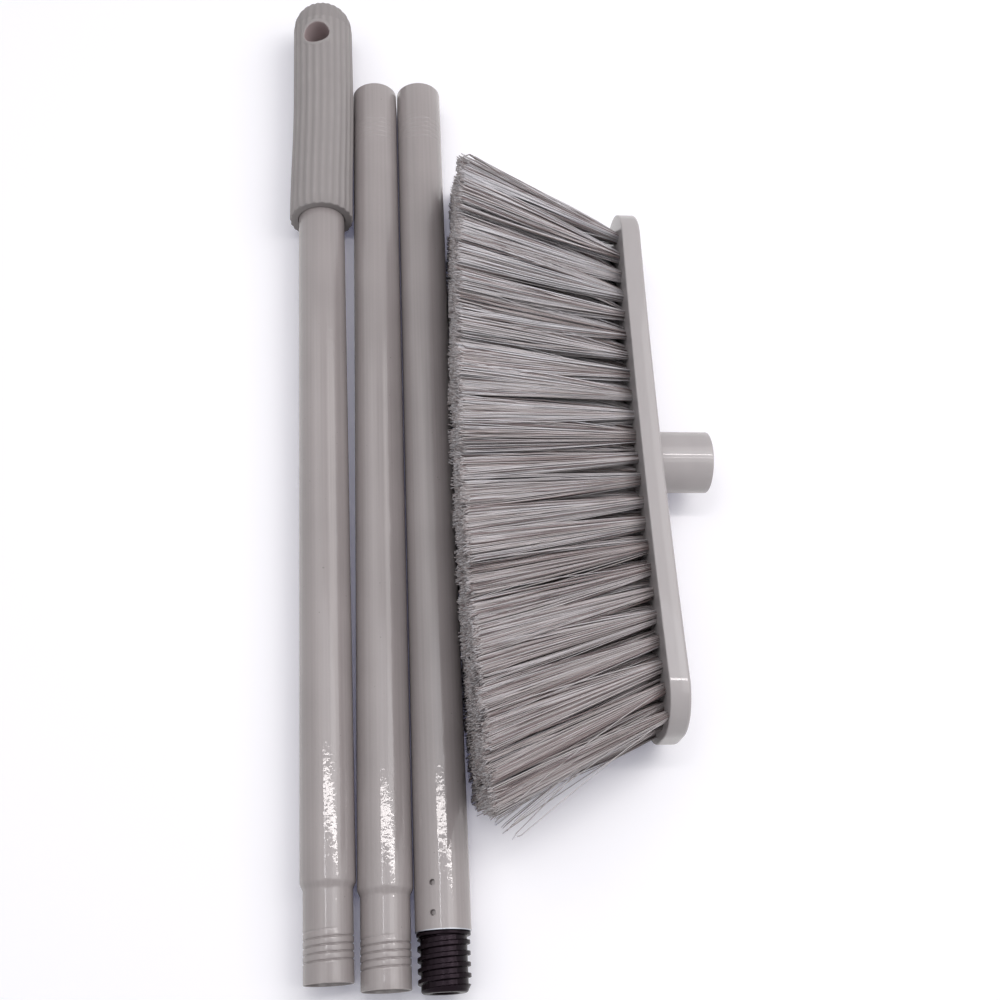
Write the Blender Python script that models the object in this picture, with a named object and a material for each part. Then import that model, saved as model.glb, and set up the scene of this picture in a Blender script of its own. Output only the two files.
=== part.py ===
"""Long-handled broom, taken apart and laid flat on the floor.

Three pole sections lie side by side: the upper one with its ribbed hanging grip, the middle one, and the
lower one with the threaded plug. The head lies on its long side to their right, with the bristle tips
towards the pole and the threaded socket away from it.

Every size is in metres. A pole section is modelled upright: its own +Z is the pole's axis, from the end
nearest the head to the end nearest the hand. The head is modelled with +X out of its socket, Y along its
length and Z across its width.
"""

import math
import random

import bmesh
import bpy
from mathutils import Vector

# Gaps and cuts
GAP = 0.0003  # between pieces that touch
CUT_OVERRUN = 0.002  # how far a cutter stands past what it cuts

# Pole tubes, in thin steel
TUBE_OD = 0.0220
TUBE_WALL = 0.0006
UPPER_TUBE_LENGTH = 0.435
MIDDLE_TUBE_LENGTH = 0.434
LOWER_TUBE_LENGTH = 0.414

# Necks, drawn in so that they enter the mouth of the next tube
NECK_CLEARANCE = 0.0006  # between a neck and the mouth that it enters
NECK_LENGTH = 0.0343
SHOULDER_LENGTH = 0.0037

# Rolled right-hand screw grooves in the necks, and the shallow ones round the mouths that grip them
ROLL_PITCH = 0.0028
ROLL_DEPTH = 0.0005
ROLL_TURNS = 4.6
ROLL_FROM_NECK_END = 0.0055
MOUTH_ROLL_DEPTH = 0.0003
MOUTH_ROLL_TURNS = 5.6
MOUTH_ROLL_FROM_EDGE = 0.0165

# Threaded plug, pressed into the lower tube
PLUG_THREAD_OD = 0.0206
PLUG_THREAD_DEPTH = 0.0012
PLUG_THREAD_PITCH = 0.00405
PLUG_LENGTH = 0.0223  # from the lower tube's end to the plug's tip
PLUG_TIP_ROUNDING = 0.0012
PLUG_COLLAR_THICKNESS = 0.0012
PLUG_COLLAR_INSET = 0.0004  # how far the collar stands inside the tube's outside
PLUG_SHANK_LENGTH = 0.026
PLUG_CORE_WALL = 0.0035  # between the root of the thread and the hollow core
PLUG_CORE_DEPTH = 0.036

# Ribbed grip, pushed over the upper tube
GRIP_WALL = 0.0039
GRIP_LENGTH = 0.132
GRIP_OVERLAP = 0.085  # length of tube inside the grip
GRIP_RIM_CHAMFER = 0.0006
RIB_COUNT = 24
RIB_DEPTH = 0.0005

# Round hanging hole through the grip
HOLE_RADIUS = 0.0063
HOLE_FROM_TIP = 0.0260  # from the tip of the dome to the hole's centre
GRIP_TURN = math.radians(9)  # how far the grip lies turned about the pole's axis

# Head block
BLOCK_LENGTH = 0.253
BLOCK_WIDTH = 0.0485
BLOCK_THICKNESS = 0.0089
BLOCK_CORNER_RADIUS = 0.020
BLOCK_EDGE_RADIUS = 0.0014
BLOCK_BOW = 0.0015  # how far the middle stands out towards the bristles

# Socket on the head's back
THREAD_CLEARANCE = 0.0003  # round the plug's thread in the socket
SOCKET_WALL = 0.0031
SOCKET_HEIGHT = 0.026
SOCKET_SPARE_DEPTH = 0.002  # bore left beyond the plug's tip
SOCKET_FILLET = 0.0015

# Bristle rows, each a slice of the block's face with its tufts
ROW_COUNT = 6
ROW_MARGIN = 0.00975  # from the block's long side to the centre of the first row
TUFTS_PER_ROW = 23
TUFT_MARGIN = 0.012  # from the block's end to the centre of the first tuft
SLICE_THICKNESS = 0.0015
SLICE_END_MARGIN = 0.0035  # of slice beyond the centre of its last tuft
STRANDS_PER_TUFT = 3
STRAND_WIDTH = 0.0012
STRAND_ROOT_GAP = 0.0003  # between neighbouring strands where they leave the block
BRISTLE_LENGTH = 0.0766
TIP_CROWN = 0.0028  # how much shorter the bristles stand at the head's ends
TIP_UNEVENNESS = 0.0006
FAN_REACH = 0.0365  # how far the end tufts' tips lean out past their roots
FLARE_REACH = 0.0126  # how far the outer rows' tips lean out past their roots
ROW_LEAN = 0.0086  # how far the upper row's tips are swept towards the floor end, and the lower row's away

# How the pieces lie: lengths along the pole from the lower tube's end
UPPER_NECK_PAST_END = 0.0172
MIDDLE_NECK_PAST_END = 0.0206
HEAD_CENTRE = 0.196

# Smoothness of the faceted solids
COLUMNS = 20  # round a tube
NECK_STEPS_PER_TURN = 4
MOUTH_STEPS_PER_TURN = 3
THREAD_STEPS_PER_TURN = 8
DOME_STEPS = 6
ARC_STEPS = 5
HOLE_COLUMNS = 28
BOW_STEPS = 12
SOCKET_COLUMNS = 28
SMOOTH_ANGLE = math.radians(35)

# Sizes that follow from the ones above
TUBE_RADIUS = TUBE_OD / 2
BORE_RADIUS = TUBE_RADIUS - TUBE_WALL
NECK_RADIUS = BORE_RADIUS - NECK_CLEARANCE
NECK_END_TO_FULL_WIDTH = NECK_LENGTH + SHOULDER_LENGTH
GRIP_START = UPPER_TUBE_LENGTH - GRIP_OVERLAP
GRIP_BORE_RADIUS = TUBE_RADIUS + GAP
GRIP_RADIUS = GRIP_BORE_RADIUS + GRIP_WALL
PLUG_RADIUS = PLUG_THREAD_OD / 2
PLUG_ROOT_RADIUS = PLUG_RADIUS - PLUG_THREAD_DEPTH
SOCKET_BORE_RADIUS = PLUG_RADIUS + THREAD_CLEARANCE
SOCKET_RADIUS = SOCKET_BORE_RADIUS + SOCKET_WALL
SOCKET_BORE_DEPTH = PLUG_LENGTH + SOCKET_SPARE_DEPTH
ROW_PITCH = (BLOCK_WIDTH - 2 * ROW_MARGIN) / (ROW_COUNT - 1)
HALF_ROWS = BLOCK_WIDTH / 2 - ROW_MARGIN
HALF_TUFTS = BLOCK_LENGTH / 2 - TUFT_MARGIN
TUFT_PITCH = 2 * HALF_TUFTS / (TUFTS_PER_ROW - 1)
SLICE_HALF_LENGTH = HALF_TUFTS + SLICE_END_MARGIN
RECESS_DEPTH = SLICE_THICKNESS + GAP

# Colours are linear, as Blender keeps them: colour, roughness, metallic
FINISHES = {
    "coated_steel": ((0.36, 0.33, 0.32, 1.0), 0.28, 0.0),
    "grip_plastic": ((0.33, 0.30, 0.30, 1.0), 0.60, 0.0),
    "head_plastic": ((0.45, 0.42, 0.42, 1.0), 0.42, 0.0),
    "plug_plastic": ((0.016, 0.011, 0.012, 1.0), 0.38, 0.0),
    "bristle_filament": ((0.40, 0.39, 0.40, 1.0), 0.45, 0.0),
}


def finish(name):
    """The material of that name, made once."""
    material = bpy.data.materials.get(name)
    if material is None:
        colour, roughness, metallic = FINISHES[name]
        material = bpy.data.materials.new(name)
        material.use_nodes = True
        material.diffuse_color = colour
        shader = material.node_tree.nodes["Principled BSDF"]
        shader.inputs["Base Color"].default_value = colour
        shader.inputs["Roughness"].default_value = roughness
        shader.inputs["Metallic"].default_value = metallic
    return material


def make_object(name, bm, parent, finish_name=None):
    """Turns a bmesh into an object; one without a finish is only a cutter or a joined-on shape."""
    bmesh.ops.recalc_face_normals(bm, faces=bm.faces)
    mesh = bpy.data.meshes.new(name)
    bm.to_mesh(mesh)
    bm.free()
    mesh.shade_smooth()
    mesh.set_sharp_from_angle(angle=SMOOTH_ANGLE)
    item = bpy.data.objects.new(name, mesh)
    bpy.context.collection.objects.link(item)
    item.parent = parent
    if finish_name:
        mesh.materials.append(finish(finish_name))
    else:
        item.display_type = "WIRE"
        item.hide_render = True
    return item


def make_empty(name, parent=None):
    item = bpy.data.objects.new(name, None)
    bpy.context.collection.objects.link(item)
    item.parent = parent
    return item


def combine(item, other, operation):
    modifier = item.modifiers.new(other.name, "BOOLEAN")
    modifier.operation = operation
    modifier.object = other
    modifier.solver = "EXACT"


def skin(rings, loop=False):
    """Joins rings of points with faces; a loop closes on itself, and otherwise both ends are capped."""
    bm = bmesh.new()
    rows = [[bm.verts.new(point) for point in ring] for ring in rings]
    pairs = list(zip(rows, rows[1:]))
    if loop:
        pairs.append((rows[-1], rows[0]))
    else:
        bm.faces.new(rows[0])
        bm.faces.new(rows[-1])
    for low, high in pairs:
        for here in range(len(low)):
            after = (here + 1) % len(low)
            bm.faces.new((low[here], low[after], high[after], high[here]))
    return bm


def turned_ring(height, radius, columns=COLUMNS):
    """A ring round +Z; the radius is a number, or a function of the angle. One corner points along -Y."""
    ring = []
    for column in range(columns):
        angle = math.tau * column / columns
        size = radius(angle) if callable(radius) else radius
        ring.append(Vector((size * math.sin(angle), -size * math.cos(angle), height)))
    return ring


def steps(start, end, count):
    return [start + (end - start) * step / count for step in range(count + 1)]


def roll_depth(height, angle, start, depth, turns):
    """Depth of a rolled right-hand groove, which starts underneath and fades in and out along its run."""
    past_start = (angle / math.tau - 0.5) % 1.0
    turn = (height - start) / ROLL_PITCH - past_start
    run = math.floor(turn) + past_start
    ease = max(0.0, min(1.0, 4 * run, 2 * (turns - run)))
    return depth * ease * max(0.0, -math.cos(math.tau * turn))


def tube_outline(length, neck, mouth):
    """Heights along a tube, each with its radius function, from the end nearest the head."""
    rolls = []
    rows = []
    if neck:
        start = ROLL_FROM_NECK_END
        whole_turns = math.ceil(ROLL_TURNS) + 1
        rolls.append((start, ROLL_DEPTH, ROLL_TURNS))
        rows += [(0, NECK_RADIUS)]
        rows += [(at, NECK_RADIUS) for at in steps(start, start + whole_turns * ROLL_PITCH,
                                                   whole_turns * NECK_STEPS_PER_TURN)]
        rows += [(NECK_LENGTH, NECK_RADIUS)]
        for share in (0.25, 0.75):
            rise = (1 - math.cos(math.pi * share)) / 2
            radius = NECK_RADIUS + (TUBE_RADIUS - NECK_RADIUS) * rise
            rows += [(NECK_LENGTH + SHOULDER_LENGTH * share, radius)]
        rows += [(NECK_END_TO_FULL_WIDTH, TUBE_RADIUS)]
    else:
        rows += [(0, TUBE_RADIUS)]
    if mouth:
        end = length - MOUTH_ROLL_FROM_EDGE
        whole_turns = math.ceil(MOUTH_ROLL_TURNS) + 1
        start = end - whole_turns * ROLL_PITCH
        rolls.append((start, MOUTH_ROLL_DEPTH, MOUTH_ROLL_TURNS))
        rows += [(at, TUBE_RADIUS) for at in steps(start, end, whole_turns * MOUTH_STEPS_PER_TURN)]
    rows += [(length, TUBE_RADIUS)]
    return rows, rolls


def make_tube(name, length, parent, neck=False, mouth=False):
    """A thin tube open at both ends, whose inner wall follows the outer one."""
    rows, rolls = tube_outline(length, neck, mouth)

    def wall(height, radius):
        def at_angle(angle):
            inward = sum(roll_depth(height, angle, *roll) for roll in rolls)
            return radius - inward

        return turned_ring(height, at_angle)

    outer = [wall(height, radius) for height, radius in rows]
    inner = [wall(height, radius - TUBE_WALL) for height, radius in reversed(rows)]
    return make_object(name, skin(outer + inner, loop=True), parent, "coated_steel")


def thread_share(height, angle, start):
    """How far the plug's thread stands at a point: narrow ridges with sloping flanks, and wide flat roots."""
    turn = (height - start) / PLUG_THREAD_PITCH - angle / math.tau
    wave = 2 * abs((turn % 1.0) - 0.5)
    return max(0.0, min(1.0, (wave - 0.42) / 0.24))


def make_plug(parent):
    """The plug: a shank inside the lower tube, a collar at the tube's end and a coarse right-hand thread."""
    low = PLUG_TIP_ROUNDING - PLUG_LENGTH
    high = -GAP - PLUG_COLLAR_THICKNESS
    count = round((high - low) / PLUG_THREAD_PITCH * THREAD_STEPS_PER_TURN)

    def threaded(height):
        ease = max(0.0, min(1.0, 2 * (height - low) / PLUG_THREAD_PITCH, 4 * (high - height) / PLUG_THREAD_PITCH))

        def at_angle(angle):
            return PLUG_ROOT_RADIUS + PLUG_THREAD_DEPTH * ease * thread_share(height, angle, low)

        return turned_ring(height, at_angle)

    core_radius = PLUG_ROOT_RADIUS - PLUG_CORE_WALL
    collar_radius = TUBE_RADIUS - PLUG_COLLAR_INSET
    shank_radius = BORE_RADIUS - GAP
    profile = [(PLUG_CORE_DEPTH - PLUG_LENGTH, core_radius), (-PLUG_LENGTH, core_radius)]
    for step in range(3):
        angle = math.pi / 4 * step
        profile.append((PLUG_TIP_ROUNDING * (1 - math.cos(angle)) - PLUG_LENGTH,
                        PLUG_ROOT_RADIUS - PLUG_TIP_ROUNDING * (1 - math.sin(angle))))
    rings = [turned_ring(height, radius) for height, radius in profile]
    rings += [threaded(height) for height in steps(low, high, count)[1:-1]]
    profile = [(high, PLUG_ROOT_RADIUS), (high, collar_radius), (-GAP, collar_radius), (-GAP, shank_radius),
               (PLUG_SHANK_LENGTH, shank_radius)]
    rings += [turned_ring(height, radius) for height, radius in profile]
    return make_object("threaded_plug", skin(rings), parent, "plug_plastic")


def rib_radius(radius, size_share=1.0):
    """A radius function with the grip's rounded ribs, one crest at each whole share of the circle."""

    def at_angle(angle):
        return radius - size_share * RIB_DEPTH * (1 - math.cos(RIB_COUNT * angle)) / 2

    return at_angle


def make_grip(parent):
    """The ribbed grip: a sleeve with a domed end, with a round hanging hole through it above the tube."""
    columns = 2 * RIB_COUNT
    tip = GRIP_START + GRIP_LENGTH
    dome_start = tip - GRIP_RADIUS
    bore_end = UPPER_TUBE_LENGTH + GAP
    rings = [turned_ring(bore_end, GRIP_BORE_RADIUS, columns)]
    rings += [turned_ring(GRIP_START, GRIP_BORE_RADIUS, columns)]
    rings += [turned_ring(GRIP_START, rib_radius(GRIP_RADIUS - GRIP_RIM_CHAMFER), columns)]
    rings += [turned_ring(GRIP_START + GRIP_RIM_CHAMFER, rib_radius(GRIP_RADIUS), columns)]
    for step in range(DOME_STEPS):
        angle = math.pi / 2 * step / DOME_STEPS
        ring_share = math.cos(angle)
        ring_height = dome_start + GRIP_RADIUS * math.sin(angle)
        rings += [turned_ring(ring_height, rib_radius(GRIP_RADIUS * ring_share, ring_share), columns)]
    last = math.cos(math.pi / 2 * (1 - 1 / (4 * DOME_STEPS)))
    rings += [turned_ring(tip, rib_radius(GRIP_RADIUS * last, last), columns)]
    grip = make_object("grip", skin(rings), parent, "grip_plastic")
    grip.rotation_euler.z = -GRIP_TURN

    reach = GRIP_RADIUS + CUT_OVERRUN
    hole = make_object("cut_hanging_hole", skin([turned_ring(depth, HOLE_RADIUS, HOLE_COLUMNS)
                                                 for depth in (-reach, reach)]), grip)
    hole.rotation_euler.x = math.pi / 2
    hole.location.z = tip - HOLE_FROM_TIP
    combine(grip, hole, "DIFFERENCE")
    return grip


def bow_at(along):
    """How far the bowed block stands towards the bristles at a place along its length, as a -X shift."""
    return -BLOCK_BOW * (1 - (along / (BLOCK_LENGTH / 2)) ** 2)


def block_stations(inset):
    """Places along the block with its half width there: a long rounded rectangle, inset all round."""
    half_length = BLOCK_LENGTH / 2
    half_width = BLOCK_WIDTH / 2
    straight = half_length - BLOCK_CORNER_RADIUS
    radius = BLOCK_CORNER_RADIUS - inset
    end = []
    for step in range(ARC_STEPS + 1):
        angle = math.pi / 2 * step / ARC_STEPS
        end.append((straight + radius * math.cos(angle),
                    half_width - BLOCK_CORNER_RADIUS + radius * math.sin(angle)))
    middle = [(at, half_width - inset) for at in steps(straight, -straight, BOW_STEPS)[1:-1]]
    other_end = [(-along, across) for along, across in reversed(end)]
    return end + middle + other_end


def ladder(layers):
    """A body from layers of (x, stations): rails on both sides of each layer, and rungs across the ends."""
    bm = bmesh.new()
    rails = []
    for depth, stations in layers:
        upper = [bm.verts.new((depth + bow_at(along), along, across)) for along, across in stations]
        lower = [bm.verts.new((depth + bow_at(along), along, -across)) for along, across in stations]
        rails.append(upper + lower[::-1])
    for low, high in zip(rails, rails[1:]):
        for here in range(len(low)):
            after = (here + 1) % len(low)
            bm.faces.new((low[here], low[after], high[after], high[here]))
    for ring in (rails[0], rails[-1]):
        for here in range(len(ring) // 2 - 1):
            bm.faces.new((ring[here], ring[here + 1], ring[-here - 2], ring[-here - 1]))
    return bm


def slab(low, high):
    """A bowed slab between two corners, cut into steps along its length so that it follows the bow."""
    rings = []
    for along in steps(low[1], high[1], BOW_STEPS):
        shift = bow_at(along)
        rings.append([(low[0] + shift, along, low[2]), (high[0] + shift, along, low[2]),
                      (high[0] + shift, along, high[2]), (low[0] + shift, along, high[2])])
    return skin(rings)


def make_block(parent):
    """The head block with its socket: inner face at x = 0, back face at its thickness."""
    layers = []
    for step in range(3):
        angle = math.pi / 2 * step / 2
        inset = BLOCK_EDGE_RADIUS * (1 - math.sin(angle))
        layers.append((BLOCK_EDGE_RADIUS * (1 - math.cos(angle)), block_stations(inset)))
    layers += [(BLOCK_THICKNESS - depth, stations) for depth, stations in reversed(layers)]
    block = make_object("head_block", ladder(layers), parent, "head_plastic")

    back = BLOCK_THICKNESS + bow_at(0)
    mouth = back + SOCKET_HEIGHT
    rings = [
        (back - BLOCK_EDGE_RADIUS, SOCKET_RADIUS + SOCKET_FILLET),
        (back, SOCKET_RADIUS + SOCKET_FILLET),
        (back + SOCKET_FILLET * 0.3, SOCKET_RADIUS + SOCKET_FILLET * 0.3),
        (back + SOCKET_FILLET, SOCKET_RADIUS),
        (mouth - SOCKET_FILLET / 2, SOCKET_RADIUS),
        (mouth, SOCKET_RADIUS - SOCKET_FILLET / 2),
    ]
    socket = make_object("join_socket", skin([turned_ring(x, r, SOCKET_COLUMNS) for x, r in rings]), parent)
    bore_rings = [(mouth - SOCKET_BORE_DEPTH, SOCKET_BORE_RADIUS), (mouth + CUT_OVERRUN, SOCKET_BORE_RADIUS)]
    bore = make_object("cut_socket_bore", skin([turned_ring(x, r, SOCKET_COLUMNS) for x, r in bore_rings]),
                       parent)
    for round_piece in (socket, bore):
        round_piece.rotation_euler.y = math.pi / 2
    recess_half_width = HALF_ROWS + ROW_PITCH / 2 + GAP / 2
    recess = make_object("cut_row_recess", slab(
        (-CUT_OVERRUN, -SLICE_HALF_LENGTH - GAP, -recess_half_width),
        (RECESS_DEPTH, SLICE_HALF_LENGTH + GAP, recess_half_width)), parent)
    combine(block, socket, "UNION")
    combine(block, bore, "DIFFERENCE")
    combine(block, recess, "DIFFERENCE")
    return block


def tuft_places(row):
    """Places of a row's tufts along the block; every other row has one tuft less and stands between."""
    staggered = row % 2
    count = TUFTS_PER_ROW - staggered
    start = -HALF_TUFTS + staggered * TUFT_PITCH / 2
    return [start + TUFT_PITCH * place for place in range(count)]


def add_strand(bm, root, tip):
    """One three-sided strand from a point inside the slice to its tip."""
    rings = []
    for centre in (root, tip):
        ring = []
        for corner in range(3):
            angle = math.tau * (corner / 3 + 0.25)
            offset = Vector((0, math.cos(angle), math.sin(angle))) * STRAND_WIDTH / math.sqrt(3)
            ring.append(bm.verts.new(centre + offset))
        rings.append(ring)
        bm.faces.new(ring)
    for here in range(3):
        after = (here + 1) % 3
        bm.faces.new((rings[0][here], rings[0][after], rings[1][after], rings[1][here]))


def make_row(row, parent, chance):
    """A slice of the block's face with a row of tufts that fan out along and across the head."""
    across = -HALF_ROWS + ROW_PITCH * row
    half_width = (ROW_PITCH - GAP) / 2
    slice_mesh = slab((0, -SLICE_HALF_LENGTH, across - half_width),
                      (SLICE_THICKNESS, SLICE_HALF_LENGTH, across + half_width))
    item = make_object(f"bristle_row_{row + 1}", slice_mesh, parent, "bristle_filament")
    fan_share = FAN_REACH / HALF_TUFTS
    flare_share = FLARE_REACH / HALF_ROWS
    tip_spacing = TUFT_PITCH * (1 + fan_share) / STRANDS_PER_TUFT
    sweep = ROW_LEAN * across / HALF_ROWS
    bm = bmesh.new()
    for place in tuft_places(row):
        for strand in range(STRANDS_PER_TUFT):
            offset = strand - (STRANDS_PER_TUFT - 1) / 2
            root_along = place + offset * (STRAND_WIDTH + STRAND_ROOT_GAP)
            tip_along = place * (1 + fan_share) + offset * tip_spacing - sweep
            uneven = TIP_UNEVENNESS * chance.random()
            crown = TIP_CROWN * (tip_along / (HALF_TUFTS + FAN_REACH)) ** 2
            tip_x = bow_at(0) - BRISTLE_LENGTH + crown + uneven
            root = Vector((SLICE_THICKNESS / 2 + bow_at(root_along), root_along, across))
            tip = Vector((tip_x, tip_along, across * (1 + flare_share)))
            add_strand(bm, root, tip)
    strands = make_object(f"join_strands_{row + 1}", bm, parent)
    combine(item, strands, "UNION")
    return item


def place_bounds(items):
    """Lowest and highest corner of evaluated objects, in world space."""
    graph = bpy.context.evaluated_depsgraph_get()
    graph.update()
    points = []
    for item in items:
        shown = item.evaluated_get(graph)
        points += [shown.matrix_world @ vertex.co for vertex in shown.data.vertices]
    low = Vector([min(point[axis] for point in points) for axis in range(3)])
    high = Vector([max(point[axis] for point in points) for axis in range(3)])
    return low, high


def lay_level(section, across, past_end):
    """Lays an upright section along +Y on the floor, its lower end the given length past zero."""
    section.rotation_euler = (-math.pi / 2, 0, 0)
    section.location = (across, -past_end, TUBE_RADIUS)


def lay_upper(section):
    """Lays the upper section against the middle one, on its shoulder and on the grip's rim."""
    apart = GRIP_START - NECK_END_TO_FULL_WIDTH
    pitch = math.atan2(GRIP_RADIUS - TUBE_RADIUS, apart)
    beside_shoulder = TUBE_OD + GAP
    beside_grip = GRIP_RADIUS + TUBE_RADIUS + GAP
    yaw = math.atan2(beside_grip - beside_shoulder, apart)
    section.rotation_euler = (pitch - math.pi / 2, 0, yaw)
    section.location = (
        -beside_shoulder + NECK_END_TO_FULL_WIDTH * math.sin(yaw),
        -UPPER_NECK_PAST_END,
        TUBE_RADIUS / math.cos(pitch) - NECK_END_TO_FULL_WIDTH * math.sin(pitch),
    )


def lay_head(head, pieces, rows):
    """Lays the head on its long side and lower tips, with the tips just clear of the lower section."""
    tip_drop = FLARE_REACH - ROW_MARGIN + STRAND_WIDTH / 2
    head.rotation_euler = (0, math.atan2(tip_drop, BRISTLE_LENGTH + BLOCK_THICKNESS), 0)
    head.location = (0, HEAD_CENTRE, 0)
    lowest = place_bounds(pieces)[0].z
    nearest = place_bounds(rows)[0].x
    lower_section_side = TUBE_OD + GAP + TUBE_RADIUS
    head.location.x = lower_section_side + GAP - nearest
    head.location.z = -lowest


def main():
    for item in list(bpy.data.objects):
        bpy.data.objects.remove(item)
    layout = make_empty("layout")
    sections = {name: make_empty(name, layout) for name in
                ("upper_section", "middle_section", "lower_section", "head")}

    pieces = [
        make_tube("upper_tube", UPPER_TUBE_LENGTH, sections["upper_section"], neck=True),
        make_grip(sections["upper_section"]),
        make_tube("middle_tube", MIDDLE_TUBE_LENGTH, sections["middle_section"], neck=True, mouth=True),
        make_tube("lower_tube", LOWER_TUBE_LENGTH, sections["lower_section"], mouth=True),
        make_plug(sections["lower_section"]),
    ]
    chance = random.Random(11)
    block = make_block(sections["head"])
    rows = [make_row(row, sections["head"], chance) for row in range(ROW_COUNT)]

    lay_upper(sections["upper_section"])
    lay_level(sections["middle_section"], 0, MIDDLE_NECK_PAST_END)
    lay_level(sections["lower_section"], TUBE_OD + GAP, 0)
    lay_head(sections["head"], [block, *rows], rows)

    low, high = place_bounds([*pieces, block, *rows])
    layout.location = (-(low.x + high.x) / 2, -(low.y + high.y) / 2, -low.z)


main()
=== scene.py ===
"""Long-handled broom, taken apart and laid flat: its looks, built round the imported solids.

Run as a script it builds every piece. Its operators and panel are laid out as an add-on's.
All sizes are in metres. A pole section's own frame has X to its side, Y up and Z along its axis,
from its lower end. The head's own frame has X out of the socket, Y along the block and Z across it.
"""

import math
from collections import namedtuple

import bpy
import numpy as np
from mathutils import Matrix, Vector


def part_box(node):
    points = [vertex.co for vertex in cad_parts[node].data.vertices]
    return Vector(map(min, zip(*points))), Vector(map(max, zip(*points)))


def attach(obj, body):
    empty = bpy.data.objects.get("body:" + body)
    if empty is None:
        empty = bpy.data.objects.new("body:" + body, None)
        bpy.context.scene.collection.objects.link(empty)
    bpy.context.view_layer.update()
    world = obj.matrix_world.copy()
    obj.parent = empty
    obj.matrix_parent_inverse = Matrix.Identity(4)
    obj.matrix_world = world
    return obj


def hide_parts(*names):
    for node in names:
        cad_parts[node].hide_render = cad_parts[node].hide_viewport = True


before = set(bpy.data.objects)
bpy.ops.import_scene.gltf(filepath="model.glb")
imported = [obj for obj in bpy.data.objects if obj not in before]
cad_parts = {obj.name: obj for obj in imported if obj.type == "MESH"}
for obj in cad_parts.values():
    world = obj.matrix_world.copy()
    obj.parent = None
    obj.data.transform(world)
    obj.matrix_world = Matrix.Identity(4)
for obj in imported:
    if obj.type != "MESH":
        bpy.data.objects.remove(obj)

bl_info = {
    "name": "Long-Handled Broom",
    "version": (1, 0, 0),
    "blender": (4, 5, 0),
    "location": "3D View > Sidebar > Broom",
    "description": "Builds a long-handled broom, taken apart and laid flat",
    "category": "Add Mesh",
}

# Sizes that the solids fix
GAP = 0.0003
TUBE_WALL = 0.0006
NECK_RADIUS = 0.0098
NECK_LENGTH = 0.0343
SHOULDER_LENGTH = 0.0037
ROLL_PITCH = 0.0028
ROLL_DEPTH = 0.0005
ROLL_TURNS = 4.6
ROLL_FROM_NECK_END = 0.0055
MOUTH_ROLL_DEPTH = 0.00015
MOUTH_ROLL_TURNS = 5.6
MOUTH_ROLL_FROM_EDGE = 0.0165
GRIP_OVERLAP = 0.085
GRIP_LENGTH = 0.132
GRIP_WALL = 0.0039
GRIP_TURN = math.radians(12)
RIB_COUNT = 24
RIB_DEPTH = 0.0005
HOLE_RADIUS = 0.0065
HOLE_FROM_TIP = 0.0262
PLUG_LENGTH = 0.0223
PLUG_RADIUS = 0.0103
PLUG_THREAD_DEPTH = 0.0012
PLUG_THREAD_PITCH = 0.00405
PLUG_TIP_ROUNDING = 0.0012
PLUG_COLLAR_THICKNESS = 0.0012
PLUG_COLLAR_INSET = 0.0004
PLUG_SHANK_LENGTH = 0.026
PLUG_CORE_WALL = 0.0035
PLUG_CORE_DEPTH = 0.036
BLOCK_LENGTH = 0.253
BLOCK_WIDTH = 0.0485
BLOCK_THICKNESS = 0.0089
BLOCK_CORNER_RADIUS = 0.020
BLOCK_BOW = 0.0015
SOCKET_BORE_RADIUS = 0.0106
SOCKET_WALL = 0.0031
SOCKET_HEIGHT = 0.026
SOCKET_BORE_DEPTH = 0.0243
SOCKET_FILLET = 0.0015
ROW_COUNT = 6
ROW_MARGIN = 0.00975
TUFTS_PER_ROW = 23
TUFT_MARGIN = 0.012
BRISTLE_LENGTH = 0.0766
FAN_REACH = 0.0365
FLARE_REACH = 0.0126
ROW_LEAN = 0.0086
STRAND_WIDTH = 0.0012

# Sizes of the fine shape
RING_DEPTH = 0.001  # how far a tube's tilted end ring reaches along the floor
# The small roundings and chamfers of the moulded pieces
FINE_EDGE = 0.0001
SMALL_EDGE = 0.0002
EDGE = 0.0003
CHAMFER = 0.0004
# The tubes
EDGE_ROUNDING = 0.00028
RUBBED_WIDTH = 0.0004
COARSE_STEP = 0.008
FINE_STEP = 0.00025
ROLL_REACH = 0.15  # half the width of a rolled groove, as a share of its pitch
ROLL_LIP_SHARE = 0.05  # how far the steel stands up between rolled grooves, as a share of their depth
DIMPLES_FROM_END = (0.0064, 0.0177)
DIMPLE_TURNS = (math.radians(-23), math.radians(157))
DIMPLE_RADIUS = 0.0012
DIMPLE_REACH = 1.3 * DIMPLE_RADIUS  # how far from a dimple's centre the mesh is fine
DIMPLE_SLOPE = 0.0003
DIMPLE_STEP = 0.0001
# The grip
HOLE_FILLET = 0.0007
HOLE_LIP_WIDTH = 0.0012
HOLE_ROWS = 10  # rings of points round each of the hanging hole's lips, and as many through it
HOLE_FIT_ROUNDS = 5
PATCH_BELOW_HOLE = 0.003  # where the patches that hold the hanging hole start and end
PATCH_BELOW_DOME = 0.001
PATCH_STEP = 0.0008
PATCH_HALF_COLUMNS = 24
GRIP_STEP = 0.006
GRIP_EDGE_ROUNDING = 0.0006
GRIP_SIDE_START = 0.0007  # the first ring on the grip's side, from its lower end
GRIP_END_INSET = 0.0012  # the ring on the grip's flat lower end, in from its ribs
GRIP_BEND = 0.0016  # how far the grip's outside leans over towards the middle tube
GRIP_BEND_SHARE = 0.55  # the share of the grip's length over which it does so
GRIP_TAPER = 0.0003
DOME_POWER = 0.84  # below 1 the dome is blunter than a half ball
DOME_PAINTED_SHADE_SHARE = 0.1  # crest lightening kept on the dome; less paints it darker, as painted shade
DOME_ROWS = 25
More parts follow.
